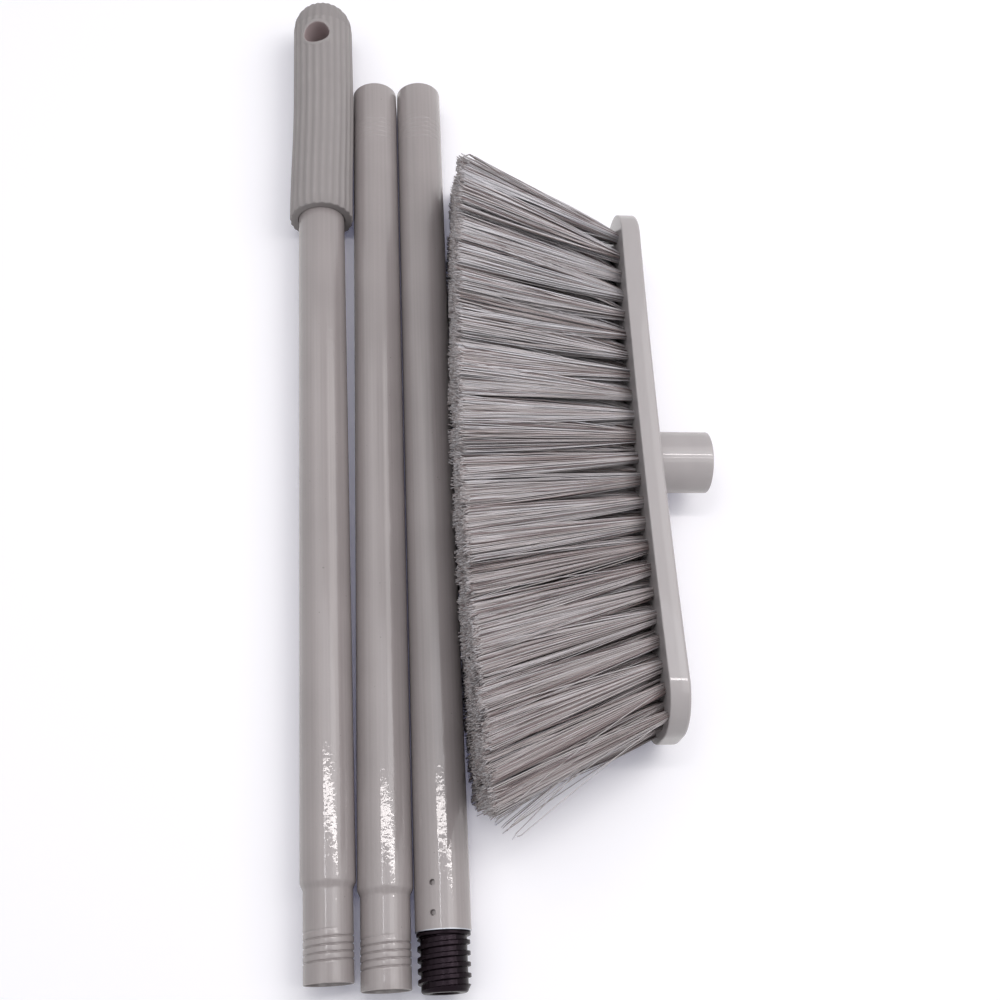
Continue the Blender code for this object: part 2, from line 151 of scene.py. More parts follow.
# The plug and the head block
PLUG_STEP = 0.00012
PLUG_CAP_RADIUS = 0.003
THREAD_FLANK_START = 0.42  # where a thread's flank starts and how wide it is, in half pitches
THREAD_FLANK_WIDTH = 0.24
BLOCK_FRONT_EDGE = 0.0006
BLOCK_BACK_EDGE = 0.0016
SOCKET_STEP = 0.003
SOCKET_THREAD_STEP = 0.00022
SOCKET_THREAD_DEPTH = 0.0009
SOCKET_FLOOR_RING = 0.004
# Columns of points round each piece
TUBE_COLUMNS = 128
COLUMNS_PER_RIB = 10
PLUG_COLUMNS = 120
BLOCK_COLUMNS = 144
CORNER_COLUMNS = 20
ARC_POINTS = 300  # points on a corner's arc, from which its columns are read
CORNER_DEGREES = (1.6, 13.2)  # between these the block's corner arcs lie, seen from its centre
# The lines where the halves of the moulds met
PLUG_PARTING_TURNS = tuple(math.radians(28) + side for side in (0, math.pi))
SOCKET_PARTING_TURNS = tuple(math.radians(108) + side for side in (0, math.pi))
PLUG_PARTING_REACH = 0.08  # how far from a parting line the mesh is fine, as an angle
SOCKET_PARTING_REACH = 0.06
PARTING_STEP = 0.008
PARTING_HEIGHT = 0.00007
PARTING_WIDTH = 0.0002

# Sizes of the bristles
SEED = 7
TUFT_RADIUS = 0.0029
CLUMPS_PER_TUFT = 9
CLUMP_SPREAD = 0.7  # how far a tuft's clumps lie from its axis, as a share of its radius
FILAMENT_SPREAD = 0.42  # and a clump's filaments from its middle
CELL_FILL = 1.3  # how far a tuft's tips spread, as a share of their own cell
OUTER_FILL = 0.1  # how much of that is left along the head's two long sides
END_FILL = 0.6  # and at its two ends
END_REACH = 0.75  # how far from a row's end a tuft counts as its last, in tuft pitches
TUFT_SWING = 0.0012
CLUMP_SWING = 0.0010
TIP_SWING = 0.0006
GROW_POWER = 1.5  # how quickly the top row's tufts widen from their holes
LOWER_GROW_POWER = 4.0
CLUMP_UNEVENNESS = 0.0028
UPPER_SPLAY = 0.35  # how much wider the last tufts towards the grip's end spread
TIP_CROWN = 0.0062  # how much shorter the end tufts' filaments reach than the middle ones
LOW_FAN = 1.243  # how far the tufts of the rows between fan out towards the plug's end, as a share
TIP_OVERHANG = 0.0038  # how far the filaments reach past the solid strands, over the lower tube
FILAMENT_ROOT_DEPTH = 0.0006
WAVES = (0.7, 1.6)  # how many half waves a filament has along its length
WAVE_HEIGHT = 0.0006
STRAY_SHARE = 0.015  # the share of filaments with a higher wave, and how much higher it is
STRAY_WAVE = 5.0
# The share of the last tufts' filaments that point past the head's end as wisps, and by how much at most
TOP_WISPS = (0.4, 0.009)
LOWER_WISPS = (0.2, 0.006)
PLUG_END_WISPS = (0.025, 0.014)
WISP_POWER = 1.5
WISP_SHORTENING = 0.6
NARROWEST = 0.8  # a thin filament's width, as a share of the usual one, and a thick one's
WIDEST = 1.15
DARK_SHARE = 0.22
DARK_TONES = (0, 0.25)
LIGHT_TONES = (0.4, 1)
CUT_TONES = (0.2, 1)
PAINTED_LIGHT_DRIFT = 0.3  # how much lighter the tufts are painted towards the grip's end: painted light
FILAMENT_SHARES = np.array((0, 0.12, 0.3, 0.52, 0.76, 0.975, 1.0))  # where a filament's rings lie along it

TAU = math.tau
HALF_BLOCK = BLOCK_LENGTH / 2
HALF_WIDTH = BLOCK_WIDTH / 2
HALF_TUFTS = HALF_BLOCK - TUFT_MARGIN
HALF_ROWS = HALF_WIDTH - ROW_MARGIN
ROW_PITCH = 2 * HALF_ROWS / (ROW_COUNT - 1)
TUFT_PITCH = 2 * HALF_TUFTS / (TUFTS_PER_ROW - 1)
PLUG_ROOT_RADIUS = PLUG_RADIUS - PLUG_THREAD_DEPTH
SOCKET_RADIUS = SOCKET_BORE_RADIUS + SOCKET_WALL
BLOCK_BACK = BLOCK_THICKNESS - BLOCK_BOW
SOCKET_MOUTH = BLOCK_BACK + SOCKET_HEIGHT

# The floor's half side, the camera, and each lamp's name, place, size, turn about Y in degrees, radiance
# and colour
FLOOR_REACH = 4
CAMERA_LENS = 47.74
CAMERA_PLACE = (-0.05319, -0.28330, 0.54868)
CAMERA_TURN = (24.769, -4.548, -2.838)
LAMPS = (
    ("strip_lamp", (0.33, 0.06, 1.2), (1.34, 0.06), 0, 15.5, (1, 0.95, 0.94)),
    ("soft_panel", (0.33, 0.1, 1.21), (1.34, 0.44), 0, 1.1, (0.93, 0.95, 1)),
    ("small_lamp", (-0.25, -0.055, 1.2), (0.06, 0.17), 0, 8.0, (0.95, 0.96, 1)),
    ("right_panel", (1.0, 0.15, 1.3), (1.1, 1.8), 38, 1.5, (1, 0.97, 0.96)),
    ("left_panel", (-0.75, 0.0, 1.3), (0.9, 1.8), -30, 0.85, (1, 0.98, 0.98)),
)

# A colour Mix node's sockets, by number because each name there stands for several
FACTOR, COLOUR_A, COLOUR_B, MIXED = 0, 6, 7, 2

Place = namedtuple("Place", "origin x y z")


def linear(hex_colour):
    """An sRGB hex colour as linear RGB."""
    shares = [int(hex_colour[place:place + 2], 16) / 255 for place in (1, 3, 5)]
    return tuple(s / 12.92 if s <= 0.04045 else ((s + 0.055) / 1.055) ** 2.4 for s in shares)


STEEL = linear("#BCC0CA")


class BroomSizes(bpy.types.PropertyGroup):
    """Sizes of the fine detail that the solids leave out."""

    dimple_depth: bpy.props.FloatProperty(
        name="Dimple Depth", description="How deep the dimples that hold the plug are punched into the tube",
        default=0.0016, min=0.0, max=0.002, unit="LENGTH", precision=5)
    filament_width: bpy.props.FloatProperty(
        name="Filament Width", description="Thickness of a single bristle filament",
        default=0.00048, min=0.0001, max=0.001, unit="LENGTH", precision=5)
    filaments_per_tuft: bpy.props.IntProperty(
        name="Filaments per Tuft", description="How many filaments leave each hole of the head block",
        default=125, min=10, max=240)
    tip_unevenness: bpy.props.FloatProperty(
        name="Tip Unevenness", description="How far the cut filament tips differ in length",
        default=0.0012, min=0.0, max=0.01, unit="LENGTH", precision=5)


class BroomColours(bpy.types.PropertyGroup):
    """Colours of the broom's finishes."""

    tube_enamel: bpy.props.FloatVectorProperty(
        name="Tube Enamel", description="Colour of the stoved enamel on the steel tubes",
        subtype="COLOR", size=3, min=0.0, max=1.0, default=linear("#989191"))
    grip_plastic: bpy.props.FloatVectorProperty(
        name="Grip Plastic", description="Colour of the matte moulded grip",
        subtype="COLOR", size=3, min=0.0, max=1.0, default=linear("#969191"))
    plug_plastic: bpy.props.FloatVectorProperty(
        name="Plug Plastic", description="Colour of the moulded plug",
        subtype="COLOR", size=3, min=0.0, max=1.0, default=linear("#0B0509"))
    head_plastic: bpy.props.FloatVectorProperty(
        name="Head Plastic", description="Colour of the moulded head block",
        subtype="COLOR", size=3, min=0.0, max=1.0, default=linear("#A7A2A3"))
    filament: bpy.props.FloatVectorProperty(
        name="Filament", description="Colour of most bristle filaments",
        subtype="COLOR", size=3, min=0.0, max=1.0, default=linear("#B9B4B4"))


# Where the pieces lie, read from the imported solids

def node_points(node):
    """A node's distinct vertices, as rows of x, y and z."""
    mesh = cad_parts[node].data
    points = np.empty(len(mesh.vertices) * 3, np.float32)
    mesh.vertices.foreach_get("co", points)
    return np.unique(points.reshape(-1, 3).astype(float).round(6), axis=0)


def pole_place(node):
    """A tube's frame and length: its end rings' centres give its origin and its axis."""
    points = node_points(node)
    along = points[:, 1]
    low = points[along < along.min() + RING_DEPTH].mean(axis=0)
    high = points[along > along.max() - RING_DEPTH].mean(axis=0)
    length = np.linalg.norm(high - low)
    axis = (high - low) / length
    side = np.cross(axis, (0, 0, 1))
    side /= np.linalg.norm(side)
    return Place(low, side, np.cross(side, axis), axis), length


def head_place():
    """The head's frame: tilted so that its lower tips touch the floor, with the block where the solid is."""
    tip_drop = FLARE_REACH - ROW_MARGIN + STRAND_WIDTH / 2
    tilt = math.atan2(tip_drop, BRISTLE_LENGTH + BLOCK_THICKNESS)
    out = np.array((math.cos(tilt), 0, -math.sin(tilt)))
    along = np.array((0, 1.0, 0))
    across = np.array((math.sin(tilt), 0, math.cos(tilt)))
    own = node_points("head_block") @ np.stack((out, along, across), axis=1)
    low, high = own.min(axis=0), own.max(axis=0)
    if abs(high[2] - low[2] - BLOCK_WIDTH) > GAP:
        raise RuntimeError("the head block doesn't lie as this script takes it to")
    centre = (low + high) / 2
    return Place((high[0] - SOCKET_MOUTH) * out + centre[1] * along + centre[2] * across, out, along, across)


UPPER, UPPER_LENGTH = pole_place("upper_tube")
MIDDLE, MIDDLE_LENGTH = pole_place("middle_tube")
LOWER, LOWER_LENGTH = pole_place("lower_tube")
HEAD = head_place()
FILAMENT_TOP = max(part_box(f"bristle_row_{row + 1}")[1].z for row in range(ROW_COUNT))
TUBE_RADIUS = (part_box("middle_tube")[1].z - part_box("middle_tube")[0].z) / 2
BORE_RADIUS = TUBE_RADIUS - TUBE_WALL
GRIP_START = UPPER_LENGTH - GRIP_OVERLAP
GRIP_TIP = GRIP_START + GRIP_LENGTH
GRIP_BORE_RADIUS = TUBE_RADIUS + GAP
GRIP_RADIUS = GRIP_BORE_RADIUS + GRIP_WALL
DOME_START = GRIP_TIP - GRIP_RADIUS


def put(place, x, y, z):
    """Points in a place's own frame, taken to the shared one."""
    x, y, z = np.broadcast_arrays(x, y, z)
    return place.origin + x[..., None] * place.x + y[..., None] * place.y + z[..., None] * place.z


def put_round(place, radius, angle, height):
    """Points round a pole's axis: radius times the sine to the side and times the cosine up."""
    return put(place, radius * np.sin(angle), radius * np.cos(angle), height)


# Mesh helpers

def smooth(share):
    """An S-shaped rise from 0 to 1."""
    share = np.clip(share, 0, 1)
    return share * share * (3 - 2 * share)


def spread(low, high, step):
    """Evenly spaced values from low to high, about a step apart."""
    return np.linspace(low, high, max(2, round((high - low) / step) + 1))


def quarter(radius, count=5):
    """A quarter arc: how far it has come in from a tangent face, and how far is left to the other one."""
    angle = np.linspace(0, math.pi / 2, count)
    return radius * (1 - np.cos(angle)), radius * (1 - np.sin(angle))


def wrapped(angle):
    """Angles brought to within half a turn of zero."""
    return (angle + math.pi) % TAU - math.pi


def full_turn(count):
    """That many angles, evenly spaced over a full turn."""
    return np.linspace(0, TAU, count + 1)[:-1]


def finer(angles, turns, reach, step):
    """Angles with finer ones added within reach of each turn, in order and without doubles."""
    near = [spread(turn - reach, turn + reach, step) % TAU for turn in turns]
    return np.unique(np.concatenate([angles, *near]).round(4))


def ring_arrays(rings, columns):
    """Heights and radii by ring and column; a ring's radius is one value, or one for each column."""
    heights = np.repeat([height for height, _ in rings], columns).reshape(-1, columns)
    return heights, np.array([np.broadcast_to(radius, columns) for _, radius in rings])


def grid_faces(index, wrap_columns=True, wrap_rows=False):
    """Quads between neighbouring rows and columns of a grid of vertex numbers."""
    if wrap_columns:
        index = np.hstack([index, index[:, :1]])
    if wrap_rows:
        index = np.vstack([index, index[:1]])
    corners = (index[:-1, :-1], index[:-1, 1:], index[1:, 1:], index[1:, :-1])
    return np.stack(corners, axis=-1).reshape(-1, 4)


def pole_faces(index, pole):
    """Triangles that close a grid's first row with that vertex, and its last row with the next vertex."""
    closed = [(index[0][::-1], pole), (index[-1], pole + 1)]
    return np.vstack([np.stack([ring, np.roll(ring, -1), np.full_like(ring, end)], axis=-1)
                      for ring, end in closed])


def outward(points, face_sets):
    """Turns all faces over where the volume they enclose, a sum of corner products, comes out negative."""
    volume = 0.0
    for faces in face_sets:
        for corner in range(1, faces.shape[1] - 1):
            cross = np.cross(points[faces[:, corner]], points[faces[:, corner + 1]])
            volume += np.einsum("ij,ij->", points[faces[:, 0]], cross)
    return face_sets if volume > 0 else [faces[:, ::-1] for faces in face_sets]


def add_object(name, data):
    """A new object of the scene."""
    item = bpy.data.objects.new(name, data)
    bpy.context.scene.collection.objects.link(item)
    return item


def add_piece(name, points, face_sets, body, nodes, material, sharp=math.radians(40), uv=None,
              shades=None):
    """Makes a mesh object from whole arrays, and ties it to its body, its nodes and its finish.

    uv holds each point's distance round and along its piece, and the distance of a full turn.
    shades holds named values from 0 to 1, one for each point.
    """
    face_sets = outward(points, face_sets)
    sizes = np.concatenate([np.full(len(faces), faces.shape[1]) for faces in face_sets])
    corners = np.concatenate([faces.ravel() for faces in face_sets])
    used, corners = np.unique(corners, return_inverse=True)
    starts = np.cumsum(sizes) - sizes
    mesh = bpy.data.meshes.new(name)
    mesh.vertices.add(len(used))
    mesh.vertices.foreach_set("co", points[used].astype(np.float32).ravel())
    mesh.loops.add(len(corners))
    mesh.loops.foreach_set("vertex_index", corners.astype(np.int32).ravel())
    mesh.polygons.add(len(sizes))
    mesh.polygons.foreach_set("loop_start", starts.astype(np.int32))
    mesh.update(calc_edges=True)
    if mesh.validate():
        raise RuntimeError(f"{name} has faces that don't make a clean mesh")
    mesh.shade_smooth()
    mesh.set_sharp_from_angle(angle=sharp)
    if uv is not None:
        u, v, turn = uv
        u, v = u[used][corners], v[used][corners]
        face_low = np.minimum.reduceat(u, starts)
        face_high = np.maximum.reduceat(u, starts)
        over_seam = np.repeat(face_high - face_low > turn / 2, sizes)
        u = np.where(over_seam & (u < turn / 2), u + turn, u)
        layer = mesh.uv_layers.new(name="round_and_along")
        layer.data.foreach_set("uv", np.stack([u, v], axis=-1).astype(np.float32).ravel())
    for shade, values in (shades or {}).items():
        layer = mesh.attributes.new(shade, "FLOAT", "POINT")
        layer.data.foreach_set("value", values.ravel()[used].astype(np.float32))
    mesh.materials.append(material)
    item = add_object(name, mesh)
    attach(item, body)
    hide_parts(*nodes)


# Materials

def add_node(material, kind, values=None, links=None, **settings):
    """Adds one shader node of that kind, with settings, sockets' values and links from other nodes."""
    node = material.node_tree.nodes.new("ShaderNode" + kind)
    for name, value in settings.items():
        setattr(node, name, value)
    for socket, value in (values or {}).items():
        node.inputs[socket].default_value = value
    for socket, (source, output) in (links or {}).items():
        material.node_tree.links.new(source.outputs[output], node.inputs[socket])
    return node


def new_material(name, colour):
    """An empty node material of that name, shown in its base colour in solid view, and that colour."""
    material = bpy.data.materials.new(name)
    material.use_nodes = True
    material.node_tree.nodes.clear()
    base = tuple(colour)
    material.diffuse_color = (*base, 1)
    return material, base


def scaled(colour, share):
    """A colour with its light scaled, as the four values that a colour socket takes."""
    return (*(min(1.0, channel * share) for channel in colour), 1)


def add_pattern(material, size, detail, wrap="Object"):
    """A noise pattern, its patches size metres long along each axis of Object or UV coordinates."""
    place = add_node(material, "TexCoord")
    scale = tuple(1 / side for side in np.broadcast_to(size, 3))
    stretched = add_node(material, "Mapping", {"Scale": scale}, {"Vector": (place, wrap)})
    return add_node(material, "TexNoise", {"Scale": 1.0, "Detail": detail},
                    {"Vector": (stretched, "Vector")})


def add_grain(material, size, detail, strength, depth):
    """A bump from a pattern of that size, of that depth in metres."""
    grain = add_pattern(material, size, detail)
    bump = add_node(material, "Bump", {"Strength": strength, "Distance": depth},
                    {"Height": (grain, "Fac")})
    return bump, "Normal"


def add_mottle(material, base, shades, sheens, share):
    """A tint between two shades of the base colour, and a roughness between two, both by one share."""
    tint = add_node(material, "Mix",
                    {COLOUR_A: scaled(base, shades[0]), COLOUR_B: scaled(base, shades[1])},
                    {FACTOR: share}, data_type="RGBA")
    sheen = add_node(material, "MapRange", {"To Min": sheens[0], "To Max": sheens[1]},
                     {"Value": share})
    return (tint, MIXED), (sheen, "Result")


def add_marked(material, attribute, colour, beneath):
    """Another colour laid over the one beneath, as far as the piece's attribute says."""
    mark = add_node(material, "Attribute", attribute_name=attribute)
    over = add_node(material, "Mix", {COLOUR_B: colour},
                    {FACTOR: (mark, "Fac"), COLOUR_A: beneath}, data_type="RGBA")
    return over, MIXED


def finished(material, values, links):
    """The material, ended with its surface shader and the output that shows it."""
    shader = add_node(material, "BsdfPrincipled", values, links)
    add_node(material, "OutputMaterial", None, {"Surface": (shader, "BSDF")})
    return material


def stoved_enamel(colours):
    """Stoved enamel, sprayed on cold-drawn steel tube and baked.

    It gives the eye a hard glossy skin with clear lamp reflections, faint streaks along the tube where
    the steel was drawn, slight orange peel, and a few specks of dust under the gloss.
    """
    material, base = new_material("stoved_enamel_on_steel", colours.tube_enamel)
    # Streaks 1.2 mm wide and 150 mm long, and cloudy patches about 30 mm across
    streaks = add_pattern(material, (0.0012, 0.15, 1), 2.0, "UV")
    clouds = add_pattern(material, 0.03, 1.0)
    drift = add_node(material, "Math", None, {0: (streaks, "Fac"), 1: (clouds, "Fac")},
                     operation="ADD")
    share = add_node(material, "MapRange", {"From Min": 0.7, "From Max": 1.3}, {"Value": (drift, 0)})
    coat = add_node(material, "Mix", {COLOUR_A: scaled(base, 0.93), COLOUR_B: scaled(base, 1.07)},
                    {FACTOR: (share, "Result")}, data_type="RGBA")
    gloss = add_node(material, "MapRange", {"To Min": 0.30, "To Max": 0.42},
                     {"Value": (streaks, "Fac")})
    # Dust specks about 0.3 mm across: only the peaks of a pattern of 1.1 mm
    dust = add_pattern(material, 0.0011, 0.0)
    speck = add_node(material, "MapRange", {"From Min": 0.86, "From Max": 0.89},
                     {"Value": (dust, "Fac")})
    speckled = add_node(material, "Mix", {COLOUR_B: scaled(base, 0.7)},
                        {FACTOR: (speck, "Result"), COLOUR_A: (coat, MIXED)}, data_type="RGBA")
    # The steep sides of the punched dimples are painted darker, as painted shade in the pits
    painted = add_marked(material, "painted_dimple_shade", scaled(base, 0.3), (speckled, MIXED))
    # The rim crimped against the plug is rubbed through to the steel
    skin = add_marked(material, "rubbed", (*STEEL, 1), painted)
    bare = add_node(material, "Attribute", attribute_name="rubbed")
    # Orange peel, waves 2.5 mm long
    peel = add_grain(material, 0.0025, 2.0, 0.6, 0.0001)
    return finished(material, {"IOR": 1.5, "Specular IOR Level": 0.3, "Coat Weight": 0.85,
                               "Coat Roughness": 0.035, "Coat IOR": 1.5},
                    {"Base Color": skin, "Metallic": (bare, "Fac"), "Roughness": (gloss, "Result"),
                     "Normal": peel, "Coat Normal": peel})


def matte_polypropylene(colours):
    """Polypropylene, injection moulded in a spark-eroded mould, as on hand grips.

    It gives the eye a soft even sheen without clear reflections, a fine pebbled grain, and ribs lighter on
    their crests, partly rubbed wear and partly painted shade in the grooves, and a dome painted darker as
    shade.
    """
    material, base = new_material("matte_moulded_polypropylene", colours.grip_plastic)
    # Rubbed patches about 12 mm across on the ribs' crests, as wear; painted shade darkens the grooves
    rub = add_pattern(material, 0.012, 3.0)
    crest = add_node(material, "Attribute", attribute_name="crest")
    rib_wear_and_shade = add_node(material, "Math", None, {0: (crest, "Fac"), 1: (rub, "Fac")},
                    operation="MULTIPLY")
    tint, sheen = add_mottle(material, base, (0.90, 1.16), (0.66, 0.52), (rib_wear_and_shade, 0))
    # Inside the hanging hole the plastic is painted paler and redder: painted light, as bounced round inside
    painted_hole_light = (base[0] * 1.35, base[1] * 1.18, base[2] * 1.2, 1)
    skin = add_marked(material, "bore", painted_hole_light, tint)
    # Spark-eroded grain of 0.3 mm
    grain = add_grain(material, 0.0003, 2.0, 0.5, 0.00004)
    return finished(material, {"IOR": 1.49}, {"Base Color": skin, "Roughness": sheen, "Normal": grain})


def black_polypropylene(colours):
    """Black polypropylene, injection moulded in a polished mould.

    It gives the eye a near-black satin surface with soft grey highlights and faint flow marks.
    """
    material, base = new_material("black_moulded_polypropylene", colours.plug_plastic)
    # Flow marks about 4 mm across, and tool marks of 0.5 mm
    flow = add_pattern(material, 0.004, 3.0)
    tint, sheen = add_mottle(material, base, (0.8, 1.5), (0.16, 0.30), (flow, "Fac"))
    marks = add_grain(material, 0.0005, 1.0, 0.3, 0.00003)
    return finished(material, {"IOR": 1.49, "Specular IOR Level": 0.16, "Specular Tint": (1, 0.78, 0.95, 1)},
                    {"Base Color": tint, "Roughness": sheen, "Normal": marks})


def satin_polypropylene(colours):
    """Pale grey polypropylene, injection moulded, as on broom heads.

    It gives the eye a smooth satin surface with cloudy flow marks along the block and a very fine grain.
    """
    material, base = new_material("satin_moulded_polypropylene", colours.head_plastic)
    # Flow marks 8 mm wide and 50 mm long, and a grain of 0.4 mm
    flow = add_pattern(material, (0.008, 0.05, 0.008), 3.0)
    tint, sheen = add_mottle(material, base, (0.94, 1.06), (0.36, 0.50), (flow, "Fac"))
    grain = add_grain(material, 0.0004, 2.0, 0.3, 0.00003)
    # The raised lines where the mould's halves met are painted nearly white, as a painted highlight
    skin = add_marked(material, "painted_highlight", scaled(base, 1.4), tint)
    return finished(material, {"IOR": 1.49, "Specular IOR Level": 0.3, "Coat Weight": 0.8,
                               "Coat Roughness": 0.04, "Coat IOR": 1.5},
                    {"Base Color": skin, "Roughness": sheen, "Normal": grain})


def drawn_polyester(colours):
    """Polyester monofilament, drawn, crimped a little and cut.

    It gives the eye fine semi-gloss lines, each a little lighter, darker or browner than the next.
    """
    material, base = new_material("drawn_polyester_filament", colours.filament)
    tone = add_node(material, "Attribute", attribute_name="tone")
    tint = add_node(material, "ValToRGB", None, {"Fac": (tone, "Fac")})
    ramp = tint.color_ramp.elements
    for position in (0.25, 0.5):
        ramp.new(position)
    # Random dark filaments are painted browner, as painted shade, and light ones bluer, as painted highlight
    shades = ((0.36, 0.27, 0.26), (0.62, 0.53, 0.51), (0.92, 0.88, 0.87), (1.28, 1.32, 1.37))
    for stop, shares in zip(ramp, shades):
        stop.color = (*(channel * share for channel, share in zip(base, shares)), 1)
    # Sheen changes every 6 mm as the filaments turn
    turn = add_pattern(material, 0.006, 1.0)
    sheen = add_node(material, "MapRange", {"To Min": 0.35, "To Max": 0.55}, {"Value": (turn, "Fac")})
    return finished(material, {"IOR": 1.57, "Specular IOR Level": 0.7, "Specular Tint": (0.8, 0.9, 1, 1)},
                    {"Base Color": (tint, "Color"), "Roughness": (sheen, "Result")})


# Tubes

def roll_relief(height, angle, start, depth, turns):
    """Depth of a rolled right-hand groove, which fades in over a quarter turn and out over half a turn.

    It starts underneath. Across the groove the place is counted in pitches from its middle: up to
    ROLL_REACH it is a cosine dip, and from there on a low sine lip.
    """
    past_start = (angle / TAU - 0.5) % 1.0
    turn = (height - start) / ROLL_PITCH - past_start
    run = np.floor(turn) + past_start
    ease = np.clip(np.minimum(4 * run, 2 * (turns - run)), 0, 1)
    apart = np.abs(turn % 1.0 - 0.5)
    dip = np.cos(math.pi / 2 * apart / ROLL_REACH)
    lip = -ROLL_LIP_SHARE * np.sin(math.pi * (apart - ROLL_REACH) / (0.5 - ROLL_REACH) / 2)
    return depth * ease * np.where(apart < ROLL_REACH, dip, lip)


def dimple_relief(height, angle, depth):
    """Depth of the punched dimples: flat-bottomed pits with S-shaped sides, by distance from each."""
    relief = np.zeros(np.broadcast(height, angle).shape)
    for from_end in DIMPLES_FROM_END:
        for turn in DIMPLE_TURNS:
            apart = np.hypot(height - from_end, wrapped(angle - turn) * TUBE_RADIUS)
            relief = np.maximum(relief, depth * smooth((DIMPLE_RADIUS - apart) / DIMPLE_SLOPE))
    return relief


def tube_base_radius(height, neck):
    """A tube's outer radius without its grooves: the neck rises to full width in half a cosine wave."""
    if not neck:
        return np.full_like(height, TUBE_RADIUS)
    share = np.clip((height - NECK_LENGTH) / SHOULDER_LENGTH, 0, 1)
    return NECK_RADIUS + (TUBE_RADIUS - NECK_RADIUS) * (1 - np.cos(math.pi * share)) / 2


def tube_surface(length, neck, mouth, dimples):
    """A thin tube's wall, out and in: at each height and angle, the base radius less grooves and dimples."""
    parts = [spread(EDGE_ROUNDING, length - EDGE_ROUNDING, COARSE_STEP)]
    rolls = []
    if neck:
        rolls.append((ROLL_FROM_NECK_END, ROLL_DEPTH, ROLL_TURNS))
        parts.append(spread(NECK_LENGTH - GAP, NECK_LENGTH + SHOULDER_LENGTH + GAP, FINE_STEP))
    if mouth:
        run = (math.ceil(MOUTH_ROLL_TURNS) + 1) * ROLL_PITCH
        rolls.append((length - MOUTH_ROLL_FROM_EDGE - run, MOUTH_ROLL_DEPTH, MOUTH_ROLL_TURNS))
    for start, _, turns in rolls:
        parts.append(spread(start - ROLL_PITCH, start + (turns + 2) * ROLL_PITCH, FINE_STEP))
    angles = full_turn(TUBE_COLUMNS)
    if dimples:
        parts.append(np.array((RUBBED_WIDTH - FINE_STEP / 2, RUBBED_WIDTH + FINE_STEP / 2)))
        for from_end in DIMPLES_FROM_END:
            parts.append(spread(from_end - DIMPLE_REACH, from_end + DIMPLE_REACH, DIMPLE_STEP))
        angles = finer(angles, DIMPLE_TURNS, DIMPLE_REACH / TUBE_RADIUS, DIMPLE_STEP / TUBE_RADIUS)
    heights = np.unique(np.concatenate(parts).round(6))
    heights = heights[(heights >= EDGE_ROUNDING) & (heights <= length - EDGE_ROUNDING)]
    angle, height = np.meshgrid(angles, heights)
    outer = tube_base_radius(height, neck)
    for roll in rolls:
        outer = outer - roll_relief(height, angle, *roll)
    if dimples:
        outer = outer - dimple_relief(height, angle, dimples)
    sunk, left = quarter(EDGE_ROUNDING)
    rim = np.concatenate([sunk, TUBE_WALL - sunk[::-1]])
    rim_height = np.concatenate([left, left[::-1]])
    top_radius = outer[-1] - rim[:, None]
    low_radius = outer[0] - rim[::-1, None]
    top_height = np.broadcast_to((length - rim_height)[:, None], top_radius.shape)
    low_height = np.broadcast_to(rim_height[::-1, None], low_radius.shape)
    radius = np.vstack([outer[:-1], top_radius, outer[1:-1][::-1] - TUBE_WALL, low_radius[:-1]])
    height = np.vstack([height[:-1], top_height, height[1:-1][::-1], low_height[:-1]])
    return radius, np.broadcast_to(angles, radius.shape), height


def add_tube(name, place, length, body, material, neck=False, mouth=False, dimples=0.0):
    """One tube: a surface closed round its axis and over both its cut edges."""
    radius, angle, height = tube_surface(length, neck, mouth, dimples)
    points = put_round(place, radius, angle, height).reshape(-1, 3)
    index = np.arange(radius.size).reshape(radius.shape)
    uv = ((angle * TUBE_RADIUS).ravel(), height.ravel(), TAU * TUBE_RADIUS)
    rubbed = (height < RUBBED_WIDTH) & (dimples > 0)
    # The dimples' steep sides get painted shade, a darker enamel colour
    sunk = dimple_relief(height, angle, 1.0) if dimples else np.zeros(height.shape)
    add_piece(f"{name}_enamelled", points, [grid_faces(index, wrap_rows=True)], body, [name],
              material, uv=uv, shades={"rubbed": rubbed, "painted_dimple_shade": 4 * sunk * (1 - sunk)})


class BROOM_OT_add_tubes(bpy.types.Operator):
    """Build the three enamelled steel tubes with their necks, rolled grooves and dimples"""

    bl_idname = "broom.add_tubes"
    bl_label = "Add Tubes"
    bl_options = {"REGISTER", "UNDO"}

    def execute(self, context):
        sizes = context.scene.broom_sizes
        enamel = stoved_enamel(context.scene.broom_colours)
        add_tube("upper_tube", UPPER, UPPER_LENGTH, "upper_section", enamel, neck=True)
        add_tube("middle_tube", MIDDLE, MIDDLE_LENGTH, "middle_section", enamel, neck=True, mouth=True)
        add_tube("lower_tube", LOWER, LOWER_LENGTH, "lower_section", enamel, mouth=True,
                 dimples=sizes.dimple_depth)
        return {"FINISHED"}


# Grip

def rib_radius(angle, ring_share=1.0):
    """The grip's outer radius: full on each rib's crest, less a cosine wave between crests."""
    return GRIP_RADIUS * ring_share - ring_share * RIB_DEPTH * (1 - np.cos(RIB_COUNT * angle)) / 2


